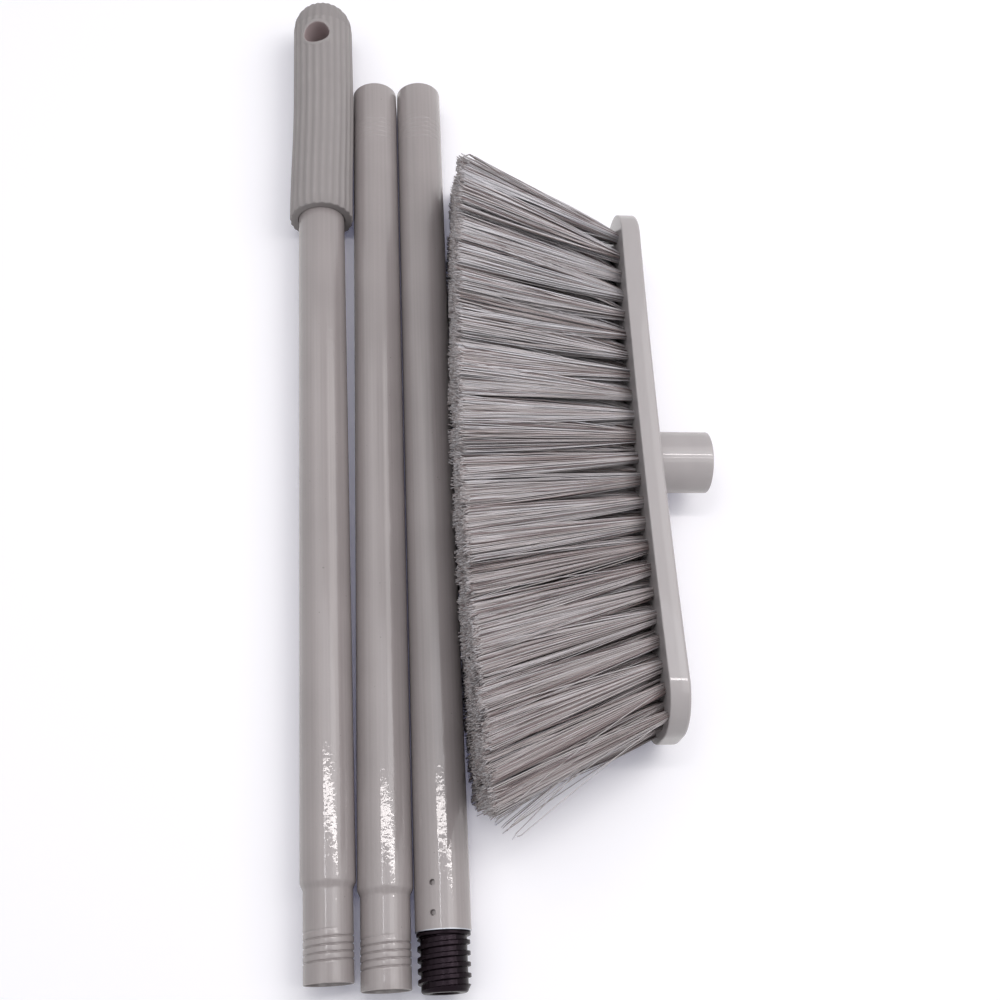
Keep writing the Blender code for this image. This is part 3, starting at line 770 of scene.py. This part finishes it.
def hole_strip(across, height, centre_height):
    """The strip from a patch's edge on the grip's front, over the hole's lip, through, and out at the back.

    Each row moves on along straight lines from the patch's edge towards the hole's axis, then sinks in a
    quarter arc, then runs straight through. The back half mirrors the front half.
    """
    bearing = np.arctan2(height - centre_height, across)
    far = np.hypot(across, height - centre_height)
    sink_in, sink_down = quarter(HOLE_FILLET, 6)
    shares = np.linspace(1, 0, HOLE_ROWS + 2)[1:-1, None]
    plain = HOLE_RADIUS + HOLE_FILLET + (far - HOLE_RADIUS - HOLE_FILLET) * shares
    sinking = np.broadcast_to(HOLE_RADIUS + sink_in[::-1, None], (len(sink_in), len(across)))
    from_centre = np.vstack([plain, sinking])
    sunk = np.concatenate([np.zeros(len(plain)), sink_down[::-1]])[:, None]
    x = from_centre * np.cos(bearing)
    z = centre_height + from_centre * np.sin(bearing)
    angle = np.arcsin(x / GRIP_RADIUS)
    lip = smooth(2 - (from_centre - HOLE_RADIUS) / HOLE_LIP_WIDTH)
    # A rib's radius depends on the angle and the angle on the radius, so they are worked out in turns
    for _ in range(HOLE_FIT_ROUNDS):
        ribbed = rib_radius(angle)
        full = ribbed + (GRIP_RADIUS - ribbed) * lip
        angle = np.arcsin(x / full)
    y = full * np.cos(angle) - sunk
    through = np.linspace(1, -1, HOLE_ROWS + 2)[1:-1, None] * y[-1]
    crest = np.maximum((1 + np.cos(RIB_COUNT * angle)) / 2, lip)
    # How far each point has sunk into the hanging hole, which also sets how much painted light it gets
    sunk_share = np.broadcast_to(smooth(sunk / HOLE_FILLET), x.shape)

    def strip(front, middle, back):
        """Values down the front rows, through the hole, and up the back rows."""
        return np.vstack([front, np.broadcast_to(middle, (HOLE_ROWS, len(across))), back[::-1]])

    rows = np.stack([strip(x, x[-1], x), strip(y, through, -y), strip(z, z[-1], z)], axis=-1)
    return rows, strip(crest, 0, crest), strip(sunk_share, 1, sunk_share)


def bent(own, inside):
    """The grip's outside tapered by a straight line over its length, and its lean over to the side.

    The lean is an S-shaped rise over the first part of the length. The bore inside stays straight.
    """
    share = np.clip((own[:, 2] - GRIP_START) / GRIP_LENGTH, 0, 1)
    taper = 1 - (1 - inside) * GRIP_TAPER / GRIP_RADIUS * share
    lean = (1 - inside) * GRIP_BEND * smooth(share / GRIP_BEND_SHARE)
    return own * np.stack([taper, taper, np.ones_like(taper)], axis=-1), lean


def grip_rings(angles, patch):
    """The grip's rings by height and radius, and how many come before its end, its side and its patches.

    They run over the bore's floor, down the bore, round the lower end and up the ribbed side. Over the
    dome the height rises with a power of the sine, and the radius falls with that power of the cosine.
    """
    ribbed = rib_radius(angles)
    floor = UPPER_LENGTH + GAP
    rings = [(floor, GRIP_BORE_RADIUS * share) for share in (0.5, 0.97)]
    rings += [(floor - GAP, GRIP_BORE_RADIUS), (GRIP_START + FINE_EDGE, GRIP_BORE_RADIUS)]
    rings += [(GRIP_START, GRIP_BORE_RADIUS + FINE_EDGE)]
    end = len(rings)
    rings += [(GRIP_START, ribbed - GRIP_END_INSET)]
    rings += [(GRIP_START + down, ribbed - left) for down, left in zip(*quarter(GRIP_EDGE_ROUNDING))]
    side = len(rings)
    rings += [(height, ribbed) for height in spread(GRIP_START + GRIP_SIDE_START, patch[0], GRIP_STEP)[:-1]]
    first = len(rings)
    rings += [(height, ribbed) for height in patch]
    rings += [(DOME_START + GRIP_RADIUS * math.sin(turn) ** DOME_POWER,
               rib_radius(angles, math.cos(turn) ** DOME_POWER))
              for turn in np.linspace(0, math.pi / 2, DOME_ROWS + 1)[:-1]]
    return rings, end, side, first


def edge_of(columns, rows):
    """The columns and rows of the points round a patch's edge, once round it."""
    wide, high = len(columns) - 1, len(rows) - 1
    edge_columns = [columns[:-1], np.full(high, columns[-1]), columns[:0:-1], np.full(high, columns[0])]
    edge_rows = [np.full(wide, rows[0]), rows[:-1], np.full(wide, rows[-1]), rows[:0:-1]]
    return np.concatenate(edge_columns), np.concatenate(edge_rows)


class BROOM_OT_add_grip(bpy.types.Operator):
    """Build the ribbed grip with its domed end and its hanging hole"""

    bl_idname = "broom.add_grip"
    bl_label = "Add Grip"
    bl_options = {"REGISTER", "UNDO"}

    def execute(self, context):
        columns = COLUMNS_PER_RIB * RIB_COUNT
        angles = TAU * np.arange(columns) / columns
        centre_height = GRIP_TIP - HOLE_FROM_TIP
        patch = spread(centre_height - HOLE_RADIUS - PATCH_BELOW_HOLE, DOME_START - PATCH_BELOW_DOME,
                       PATCH_STEP)
        rings, end, side, first = grip_rings(angles, patch)
        last = first + len(patch) - 1
        heights, radii = ring_arrays(rings, columns)
        index = np.arange(radii.size).reshape(radii.shape)

        # The front and back patches are left open, and the strip through the hanging hole joins their edges
        span = np.arange(-PATCH_HALF_COLUMNS, PATCH_HALF_COLUMNS + 1)
        edge_columns, edge_rows = edge_of(span, np.arange(first, last + 1))
        front = index[edge_rows, edge_columns % columns]
        back = index[edge_rows, (columns // 2 - edge_columns) % columns]
        edge_angle = TAU * edge_columns / columns
        strip, strip_crest, strip_hole_light = hole_strip(rib_radius(edge_angle) * np.sin(edge_angle),
                                                    heights[edge_rows, 0], centre_height)
        inner = radii.size + np.arange(strip_crest.size).reshape(strip_crest.shape)
        cells = grid_faces(index).reshape(len(rings) - 1, columns, 4)
        keep = np.ones(cells.shape[:2], bool)
        for middle in (0, columns // 2):
            keep[first:last, (middle + span[:-1]) % columns] = False

        rounds = np.stack([radii * np.sin(angles), radii * np.cos(angles), heights], axis=-1)
        own = np.vstack([rounds.reshape(-1, 3), strip.reshape(-1, 3),
                         [(0, 0, rings[0][0]), (0, 0, GRIP_TIP)]])
        inside = np.repeat(np.arange(len(rings)) < end, columns)
        own, bend = bent(own, np.concatenate([inside, np.zeros(strip_crest.size), (1, 0)]))
        cosine, sine = math.cos(GRIP_TURN), math.sin(GRIP_TURN)
        points = put(UPPER, own[:, 0] * cosine - own[:, 1] * sine + bend,
                     own[:, 1] * cosine + own[:, 0] * sine, own[:, 2])
        faces = [cells[keep], grid_faces(np.vstack([front, inner, back])), pole_faces(index, len(points) - 2)]
        # Crests lighter and grooves darker: rubbed wear on the crests, and painted shade in the grooves
        crest = np.broadcast_to((1 + np.cos(RIB_COUNT * angles)) / 2, radii.shape).copy()
        crest[:side + 1] = 0
        # The dome keeps little of the crests' lightening, so it is painted darker, as painted shade
        crest[last + 1:] *= DOME_PAINTED_SHADE_SHARE
        crests = np.concatenate([crest.ravel(), strip_crest.ravel(), (0, 1)])
        # Painted light inside the hanging hole: a paler, redder colour on its lips and through it
        hole_light_share = np.concatenate([np.zeros(crest.size), strip_hole_light.ravel(), (0, 0)])
        add_piece("grip_ribbed", points, faces, "upper_section", ["grip"],
                  matte_polypropylene(context.scene.broom_colours), shades={"crest": crests, "bore": hole_light_share})
        return {"FINISHED"}


# Plug

def thread_relief(height, low, high, angle, depth, fall=2):
    """How far a thread stands at a height between its ends: narrow ridges with sloping flanks.

    Its turns are counted up from low, less the angle's share of a turn. It rises from nothing over half
    a pitch at its low end, and sinks to nothing over a pitch divided by fall at its high end.
    """
    ease = np.clip(min(2 * (height - low), fall * (high - height)) / PLUG_THREAD_PITCH, 0, 1)
    turn = (height - low) / PLUG_THREAD_PITCH - angle / TAU
    wave = 2 * np.abs(turn % 1.0 - 0.5)
    return depth * ease * smooth((wave - THREAD_FLANK_START) / THREAD_FLANK_WIDTH)


def parting_relief(angle, turns, radius):
    """Height of the mould's parting lines: a bell curve over the distance round from each."""
    return sum(PARTING_HEIGHT * np.exp(-(wrapped(angle - turn) * radius / PARTING_WIDTH) ** 2)
               for turn in turns)


class BROOM_OT_add_plug(bpy.types.Operator):
    """Build the black threaded plug in the lower tube's end"""

    bl_idname = "broom.add_plug"
    bl_label = "Add Plug"
    bl_options = {"REGISTER", "UNDO"}

    def execute(self, context):
        depth = context.scene.broom_sizes.dimple_depth
        angles = finer(full_turn(PLUG_COLUMNS), PLUG_PARTING_TURNS, PLUG_PARTING_REACH, PARTING_STEP)
        low = PLUG_TIP_ROUNDING - PLUG_LENGTH
        high = -GAP - PLUG_COLLAR_THICKNESS
        core = PLUG_ROOT_RADIUS - PLUG_CORE_WALL
        core_end = PLUG_CORE_DEPTH - PLUG_LENGTH
        collar = TUBE_RADIUS - PLUG_COLLAR_INSET
        shank = BORE_RADIUS - GAP
        # The core's floor and side, then the rounded tip
        rings = [(core_end, core * 0.6), (core_end, core - EDGE), (core_end - EDGE, core)]
        rings += [(CHAMFER - PLUG_LENGTH, core), (-PLUG_LENGTH, core + CHAMFER)]
        rings += [(down - PLUG_LENGTH, PLUG_ROOT_RADIUS - away)
                  for down, away in zip(*quarter(PLUG_TIP_ROUNDING, 7))]
        for height in spread(low, high - EDGE, PLUG_STEP)[1:]:
            thread = thread_relief(height, low, high, angles, PLUG_THREAD_DEPTH, fall=4)
            radius = PLUG_ROOT_RADIUS + thread
            rings.append((height, radius + parting_relief(angles, PLUG_PARTING_TURNS, radius)))
        # The collar with its edges, then the shank with its dimples and its closed end
        rings += [(high, PLUG_ROOT_RADIUS + EDGE), (high, collar - EDGE)]
        rings += [(high + FINE_EDGE, collar - FINE_EDGE), (high + EDGE, collar)]
        rings += [(-GAP - SMALL_EDGE, collar), (-GAP, collar - SMALL_EDGE), (-GAP, shank + FINE_EDGE)]
        rings += [(height, shank - np.maximum(0, dimple_relief(height, angles, depth) - GAP))
                  for height in spread(GAP, PLUG_SHANK_LENGTH - 2 * CHAMFER, CHAMFER)]
        rings += [(PLUG_SHANK_LENGTH, shank - 2 * CHAMFER), (PLUG_SHANK_LENGTH, PLUG_CAP_RADIUS)]
        heights, radii = ring_arrays(rings, len(angles))
        poles = put(LOWER, np.zeros(2), np.zeros(2), np.array((core_end, PLUG_SHANK_LENGTH)))
        points = np.vstack([put_round(LOWER, radii, angles, heights).reshape(-1, 3), poles])
        index = np.arange(radii.size).reshape(radii.shape)
        faces = [grid_faces(index), pole_faces(index, index.size)]
        add_piece("plug_threaded", points, faces, "lower_section", ["threaded_plug"],
                  black_polypropylene(context.scene.broom_colours))
        return {"FINISHED"}


# Head block

def bow_at(along):
    """How far the bowed block stands towards the bristles: a parabola along its length, as a -X shift."""
    return -BLOCK_BOW * (1 - (along / HALF_BLOCK) ** 2)


def block_outline(bearings):
    """The block's long rounded rectangle by direction from its centre: points and the normals there."""
    straight, side = HALF_BLOCK - BLOCK_CORNER_RADIUS, HALF_WIDTH - BLOCK_CORNER_RADIUS
    lines, normals = [], []
    corners = [(straight, side, 0), (-straight, side, 1), (-straight, -side, 2), (straight, -side, 3)]
    for along, across, quadrant in corners:
        angle = (quadrant + np.linspace(0, 1, ARC_POINTS)) * math.pi / 2
        normal = np.stack([np.cos(angle), np.sin(angle)], axis=-1)
        lines.append(np.array((along, across)) + BLOCK_CORNER_RADIUS * normal)
        normals.append(normal)
    line, normal = np.vstack(lines), np.vstack(normals)
    bearing = np.arctan2(line[:, 1], line[:, 0]) % TAU
    parts = [np.interp(bearings, bearing, values, period=TAU) for values in (*line.T, *normal.T)]
    size = np.hypot(parts[2], parts[3])
    return parts[0], parts[1], parts[2] / size, parts[3] / size


class BROOM_OT_add_head_block(bpy.types.Operator):
    """Build the moulded head block with its bow and its threaded socket"""

    bl_idname = "broom.add_head_block"
    bl_label = "Add Head Block"
    bl_options = {"REGISTER", "UNDO"}

    def execute(self, context):
        corner = np.radians(np.linspace(*CORNER_DEGREES, CORNER_COLUMNS))
        bearings = [full_turn(BLOCK_COLUMNS), corner, math.pi - corner, math.pi + corner, TAU - corner]
        bearings = finer(np.concatenate(bearings), SOCKET_PARTING_TURNS, SOCKET_PARTING_REACH, PARTING_STEP)
        along, across, normal_along, normal_across = block_outline(bearings)
        rows = []

        def ring(depth, inset, share=1.0):
            """A ring of the outline, inset along its normals, then drawn in towards the centre."""
            y = (along - inset * normal_along) * share
            z = (across - inset * normal_across) * share
            rows.append((depth + bow_at(y), y, z))

        def circle(x, radius):
            """A circle round the socket's axis."""
            rows.append((np.full_like(bearings, x), radius * np.cos(bearings), radius * np.sin(bearings)))

        # The face under the bristles, and the block's edges
        for share in (0.1, 0.35, 0.6, 0.8, 0.93):
            ring(0, BLOCK_FRONT_EDGE, share)
        for down, away in zip(*quarter(BLOCK_FRONT_EDGE)):
            ring(down, away)
        sunk, left = quarter(BLOCK_BACK_EDGE, 9)
        for down, away in zip(sunk[::-1], left[::-1]):
            ring(BLOCK_THICKNESS - down, away)
        # The back, whose rings go over by shares from the outline to the socket's foot
        outer_y = along - BLOCK_BACK_EDGE * normal_along
        outer_z = across - BLOCK_BACK_EDGE * normal_across
        base = SOCKET_RADIUS + SOCKET_FILLET
        for share in (0.02, 0.15, 0.35, 0.55, 0.75, 0.9, 1.0):
            y = outer_y + (base * np.cos(bearings) - outer_y) * share
            z = outer_z + (base * np.sin(bearings) - outer_z) * share
            rows.append((BLOCK_THICKNESS + bow_at(y), y, z))
        # The socket's fillet, side and rim
        sunk, left = quarter(SOCKET_FILLET, 7)
        for down, away in zip(sunk[1:], left[1:]):
            circle(BLOCK_BACK + down, SOCKET_RADIUS + away)
        rim = SOCKET_FILLET / 2
        parting = parting_relief(bearings, SOCKET_PARTING_TURNS, SOCKET_RADIUS)
        for x in spread(BLOCK_BACK + 1.3 * SOCKET_FILLET, SOCKET_MOUTH - rim, SOCKET_STEP):
            circle(x, SOCKET_RADIUS + parting)
        sunk, left = quarter(rim, 6)
        for away, down in zip(sunk[1:], left[1:]):
            circle(SOCKET_MOUTH - down, SOCKET_RADIUS - away)
        # Its threaded bore
        circle(SOCKET_MOUTH, SOCKET_BORE_RADIUS + CHAMFER)
        circle(SOCKET_MOUTH - CHAMFER, SOCKET_BORE_RADIUS)
        floor = SOCKET_MOUTH - SOCKET_BORE_DEPTH
        for x in spread(floor + CHAMFER, SOCKET_MOUTH - 2 * CHAMFER, SOCKET_THREAD_STEP)[::-1]:
            thread = thread_relief(x, floor, SOCKET_MOUTH, bearings, SOCKET_THREAD_DEPTH)
            circle(x, SOCKET_BORE_RADIUS - thread)
        circle(floor, SOCKET_BORE_RADIUS - CHAMFER)
        circle(floor, SOCKET_FLOOR_RING)

        own = np.moveaxis(np.array(rows), 1, -1)
        outside = own[..., 0] > BLOCK_BACK + SOCKET_FILLET
        outside &= np.hypot(own[..., 1], own[..., 2]) > SOCKET_RADIUS - rim
        # The socket's raised parting lines, outside, get a painted highlight
        painted_highlight = np.concatenate([(outside * parting / PARTING_HEIGHT).ravel(), (0, 0)])
        stacked = np.vstack([own.reshape(-1, 3), [(bow_at(0), 0, 0), (floor, 0, 0)]])
        index = np.arange(painted_highlight.size - 2).reshape(own.shape[:2])
        faces = [grid_faces(index), pole_faces(index, index.size)]
        add_piece("head_block_moulded", put(HEAD, *stacked.T), faces, "head", ["head_block"],
                  satin_polypropylene(context.scene.broom_colours), shades={"painted_highlight": painted_highlight})
        return {"FINISHED"}


# Bristles

def tuft_places(row):
    """Places of a row's tufts along the block; every other row stands half a pitch nearer the plug's end."""
    return -HALF_TUFTS - row % 2 * TUFT_PITCH / 2 + TUFT_PITCH * np.arange(TUFTS_PER_ROW)


def filament_lines(row, count, unevenness, chance):
    """Centre lines of a row's filaments, as x, along and across, by filament and by share of its length.

    Each leaves a round hole at a spot near its clump's, and its tuft's axis fans out along and across
    the head. Round that axis the spot's offset grows from the hole's size to the tip's cell, quickly at
    first. Each tuft and each clump points a little off its axis, and every filament has a low random wave.
    """
    top = row == ROW_COUNT - 1
    flare = 1 + FLARE_REACH / HALF_ROWS
    places = tuft_places(row)
    tuft = np.repeat(places, count)[:, None]
    fan = np.where((tuft < 0) & (row % 2 == 1), LOW_FAN, 1 + FAN_REACH / HALF_TUFTS)
    total = len(tuft)
    across = -HALF_ROWS + ROW_PITCH * row
    lean = -ROW_LEAN * across / HALF_ROWS
    clumps = len(places) * CLUMPS_PER_TUFT
    clump = np.repeat(np.arange(len(places)) * CLUMPS_PER_TUFT, count)
    clump += chance.integers(0, CLUMPS_PER_TUFT, total)

    def spots(number, reach):
        """Random spots in a circle of that radius."""
        turn = chance.uniform(0, TAU, number)
        out = reach * np.sqrt(chance.uniform(0, 1, number))
        return np.stack([out * np.cos(turn), out * np.sin(turn)], axis=-1)

    spot = spots(clumps, CLUMP_SPREAD)[clump] + spots(total, FILAMENT_SPREAD)
    swing = np.repeat(chance.normal(0, TUFT_SWING, (len(places), 2)), count, axis=0)
    swing += chance.normal(0, CLUMP_SWING, (clumps, 2))[clump]
    cell = np.hstack([TUFT_PITCH * fan / 2, np.full((total, 1), ROW_PITCH * flare / 2)])
    cell = cell * CELL_FILL * spot + swing
    cell[:, 0] *= 1 + UPPER_SPLAY * np.clip(tuft[:, 0] / HALF_TUFTS, 0, 1)
    cell[((row == 0) & (cell[:, 1] < 0)) | (top & (cell[:, 1] > 0)), 1] *= OUTER_FILL
    outward = np.sign(tuft[:, 0])
    at_end = np.abs(tuft[:, 0]) > HALF_TUFTS - END_REACH * TUFT_PITCH
    cell[at_end & (cell[:, 0] * outward > 0), 0] *= END_FILL

    often, reach = TOP_WISPS if top else LOWER_WISPS
    seldom, far = PLUG_END_WISPS
    upper = chance.uniform(0, 1, total) < often
    lower = chance.uniform(0, 1, total) < seldom
    wisp = at_end * np.where(outward > 0, upper * chance.uniform(0, reach, total),
                             lower * chance.uniform(0, far, total))
    t = FILAMENT_SHARES[None, :]
    grow = 1 - (1 - t) ** (GROW_POWER if top else LOWER_GROW_POWER)
    root = TUFT_RADIUS * spot[..., None]
    wave = np.sin(math.pi * t * chance.uniform(*WAVES, (total, 2, 1)))
    wave *= chance.normal(0, WAVE_HEIGHT, (total, 2, 1))
    wave *= t * np.where(chance.uniform(0, 1, total) < STRAY_SHARE, STRAY_WAVE, 1.0)[:, None, None]
    offset = root + (cell[..., None] - root) * grow[None] + wave
    offset[..., -1] += chance.normal(0, TIP_SWING, (total, 2))
    y = tuft * (1 + (fan - 1) * t) + lean * t + offset[:, 0] + (outward * wisp)[:, None] * t ** WISP_POWER
    z = across * (1 + (flare - 1) * t) + offset[:, 1]
    crown = TIP_CROWN * (y[:, -1:] / (HALF_TUFTS + FAN_REACH)) ** 2
    short = unevenness * chance.uniform(0, 1, (total, 1)) ** 2 + WISP_SHORTENING * wisp[:, None]
    short += chance.uniform(0, CLUMP_UNEVENNESS, clumps)[clump][:, None]
    tip_x = bow_at(0) - BRISTLE_LENGTH - TIP_OVERHANG + crown + short
    root_x = bow_at(tuft + root[:, 0]) + FILAMENT_ROOT_DEPTH
    return root_x + (tip_x - root_x) * t, y, z


def clear_of_neighbours(points, room):
    """Lifts filament points off the floor, holds them under the head's height, and keeps them off the pole.

    Below the lower tube's axis a point stays beside the tube, and above it on or beyond its round side.
    """
    top = FILAMENT_TOP - room
    points[..., 2] = np.clip(points[..., 2], room, top)
    rise = points[..., 2] - TUBE_RADIUS
    half_chord = np.sqrt(np.clip(TUBE_RADIUS ** 2 - np.maximum(rise, 0) ** 2, 0, None))
    side = LOWER.origin[0] + half_chord + room + GAP
    beside = rise < TUBE_RADIUS + room
    points[..., 0] = np.where(beside, np.maximum(points[..., 0], side), points[..., 0])
    return points


class BROOM_OT_add_bristles(bpy.types.Operator):
    """Build the six rows of fanned bristle tufts, filament by filament"""

    bl_idname = "broom.add_bristles"
    bl_label = "Add Bristles"
    bl_options = {"REGISTER", "UNDO"}

    def execute(self, context):
        sizes = context.scene.broom_sizes
        material = drawn_polyester(context.scene.broom_colours)
        chance = np.random.default_rng(SEED)
        radius = sizes.filament_width / math.sqrt(3)
        for row in range(ROW_COUNT):
            x, y, z = filament_lines(row, sizes.filaments_per_tuft, sizes.tip_unevenness, chance)
            centres = clear_of_neighbours(put(HEAD, x, y, z), WIDEST * radius)
            total, rings = x.shape
            # A filament is a three-sided tube
            corner = TAU * (np.arange(3) / 3)[None, :] + chance.uniform(0, TAU, (total, 1))
            width = chance.uniform(NARROWEST, WIDEST, (total, 1))
            offset = radius * width[..., None] * (np.cos(corner)[..., None] * HEAD.y
                                                  + np.sin(corner)[..., None] * HEAD.z)
            points = (centres[:, :, None, :] + offset[:, None, :, :]).reshape(-1, 3)
            index = np.arange(total * rings * 3).reshape(total, rings, 3)
            after = np.roll(index, -1, axis=2)
            sides = np.stack([index[:, :-1], after[:, :-1], after[:, 1:], index[:, 1:]], axis=-1)
            ends = np.vstack([index[:, 0, ::-1], index[:, -1]])
            dark = chance.uniform(0, 1, total) < DARK_SHARE
            tone = np.where(dark, chance.uniform(*DARK_TONES, total), chance.uniform(*LIGHT_TONES, total))
            # Painted light: the tufts are painted lighter towards the grip's end
            tone = np.clip(tone * (1 + PAINTED_LIGHT_DRIFT * y[:, 0] / HALF_TUFTS), 0, 1)
            tone = np.repeat(tone[:, None] * np.ones(rings), 3, axis=1)
            tone[:, -3:] = chance.uniform(*CUT_TONES, (total, 1))
            add_piece(f"bristle_row_{row + 1}_filaments", points, [sides.reshape(-1, 4), ends], "head",
                      [f"bristle_row_{row + 1}"], material, sharp=math.pi,
                      shades={"tone": tone})
        return {"FINISHED"}


# Stage

def add_lamp(name, place, size, turn, radiance, colour):
    """A rectangular lamp, turned about Y from facing down; its power is radiance times area times pi."""
    light = bpy.data.lights.new(name, "AREA")
    light.shape = "RECTANGLE"
    light.size, light.size_y = size
    light.energy = radiance * size[0] * size[1] * math.pi
    light.color = colour
    lamp = add_object(name, light)
    lamp.location = place
    lamp.rotation_euler = (0, math.radians(turn), 0)


class BROOM_OT_add_stage(bpy.types.Operator):
    """Build the pale floor, the soft lamps, the white surroundings and the camera"""

    bl_idname = "broom.add_stage"
    bl_label = "Add Stage"
    bl_options = {"REGISTER", "UNDO"}

    def execute(self, context):
        scene = context.scene
        scene.view_settings.view_transform = "Standard"
        floor_mesh = bpy.data.meshes.new("floor")
        corners = [(x * FLOOR_REACH, y * FLOOR_REACH, 0) for x, y in ((-1, -1), (1, -1), (1, 1), (-1, 1))]
        floor_mesh.from_pydata(corners, [], [(0, 1, 2, 3)])
        floor = add_object("floor", floor_mesh)
        paper, _ = new_material("matte_white_paper", (0.9, 0.9, 0.9))
        seen = add_node(paper, "LightPath")
        # Only the camera sees the floor a little brighter, which takes it to the photo's white
        lift = add_node(paper, "Math", {1: 0.1}, {0: (seen, "Is Camera Ray")}, operation="MULTIPLY")
        floor_mesh.materials.append(finished(
            paper, {"Base Color": (0.97, 0.97, 0.97, 1), "Roughness": 0.9, "Specular IOR Level": 0,
                    "Emission Color": (0.6, 0.6, 1, 1)}, {"Emission Strength": (lift, 0)}))

        # The camera and reflections see a white room, and its diffuse light is softer
        world = bpy.data.worlds.new("white_room")
        world.use_nodes = True
        world.node_tree.nodes.clear()
        seen = add_node(world, "LightPath")
        shown = (seen, "Is Camera Ray")
        for ray in ("Is Glossy Ray", "Is Transmission Ray"):
            either = add_node(world, "Math", None, {0: shown, 1: (seen, ray)}, operation="ADD",
                              use_clamp=True)
            shown = (either, 0)
        soft = add_node(world, "Background", {"Color": (0.98, 0.985, 1, 1), "Strength": 0.38})
        white = add_node(world, "Background", {"Color": (1, 1, 1, 1), "Strength": 1.0})
        mixed = add_node(world, "MixShader", None,
                         {0: shown, 1: (soft, "Background"), 2: (white, "Background")})
        add_node(world, "OutputWorld", None, {"Surface": (mixed, "Shader")})
        scene.world = world

        for lamp in LAMPS:
            add_lamp(*lamp)

        view = bpy.data.cameras.new("camera")
        view.lens = CAMERA_LENS
        view.sensor_width = 36
        view.clip_start = 0.01
        camera = add_object("camera", view)
        camera.location = CAMERA_PLACE
        camera.rotation_euler = tuple(math.radians(turn) for turn in CAMERA_TURN)
        scene.camera = camera
        return {"FINISHED"}


class BROOM_PT_build(bpy.types.Panel):
    """Lists the broom's settings and the steps that build it"""

    bl_idname = "BROOM_PT_build"
    bl_label = "Long-Handled Broom"
    bl_space_type = "VIEW_3D"
    bl_region_type = "UI"
    bl_category = "Broom"

    def draw(self, context):
        layout = self.layout
        for group in (context.scene.broom_sizes, context.scene.broom_colours):
            box = layout.box()
            for setting in group.__annotations__:
                box.prop(group, setting)
        for step in STEPS:
            layout.operator(step.bl_idname)


STEPS = (BROOM_OT_add_stage, BROOM_OT_add_tubes, BROOM_OT_add_grip, BROOM_OT_add_plug,
         BROOM_OT_add_head_block, BROOM_OT_add_bristles)
CLASSES = (BroomSizes, BroomColours, *STEPS, BROOM_PT_build)


def register():
    for item in CLASSES:
        bpy.utils.register_class(item)
    bpy.types.Scene.broom_sizes = bpy.props.PointerProperty(type=BroomSizes)
    bpy.types.Scene.broom_colours = bpy.props.PointerProperty(type=BroomColours)


def unregister():
    del bpy.types.Scene.broom_colours
    del bpy.types.Scene.broom_sizes
    for item in reversed(CLASSES):
        bpy.utils.unregister_class(item)


def main():
    register()
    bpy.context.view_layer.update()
    bpy.ops.broom.add_stage()
    bpy.ops.broom.add_tubes()
    bpy.ops.broom.add_grip()
    bpy.ops.broom.add_plug()
    bpy.ops.broom.add_head_block()
    bpy.ops.broom.add_bristles()


if __name__ == "__main__":
    main()
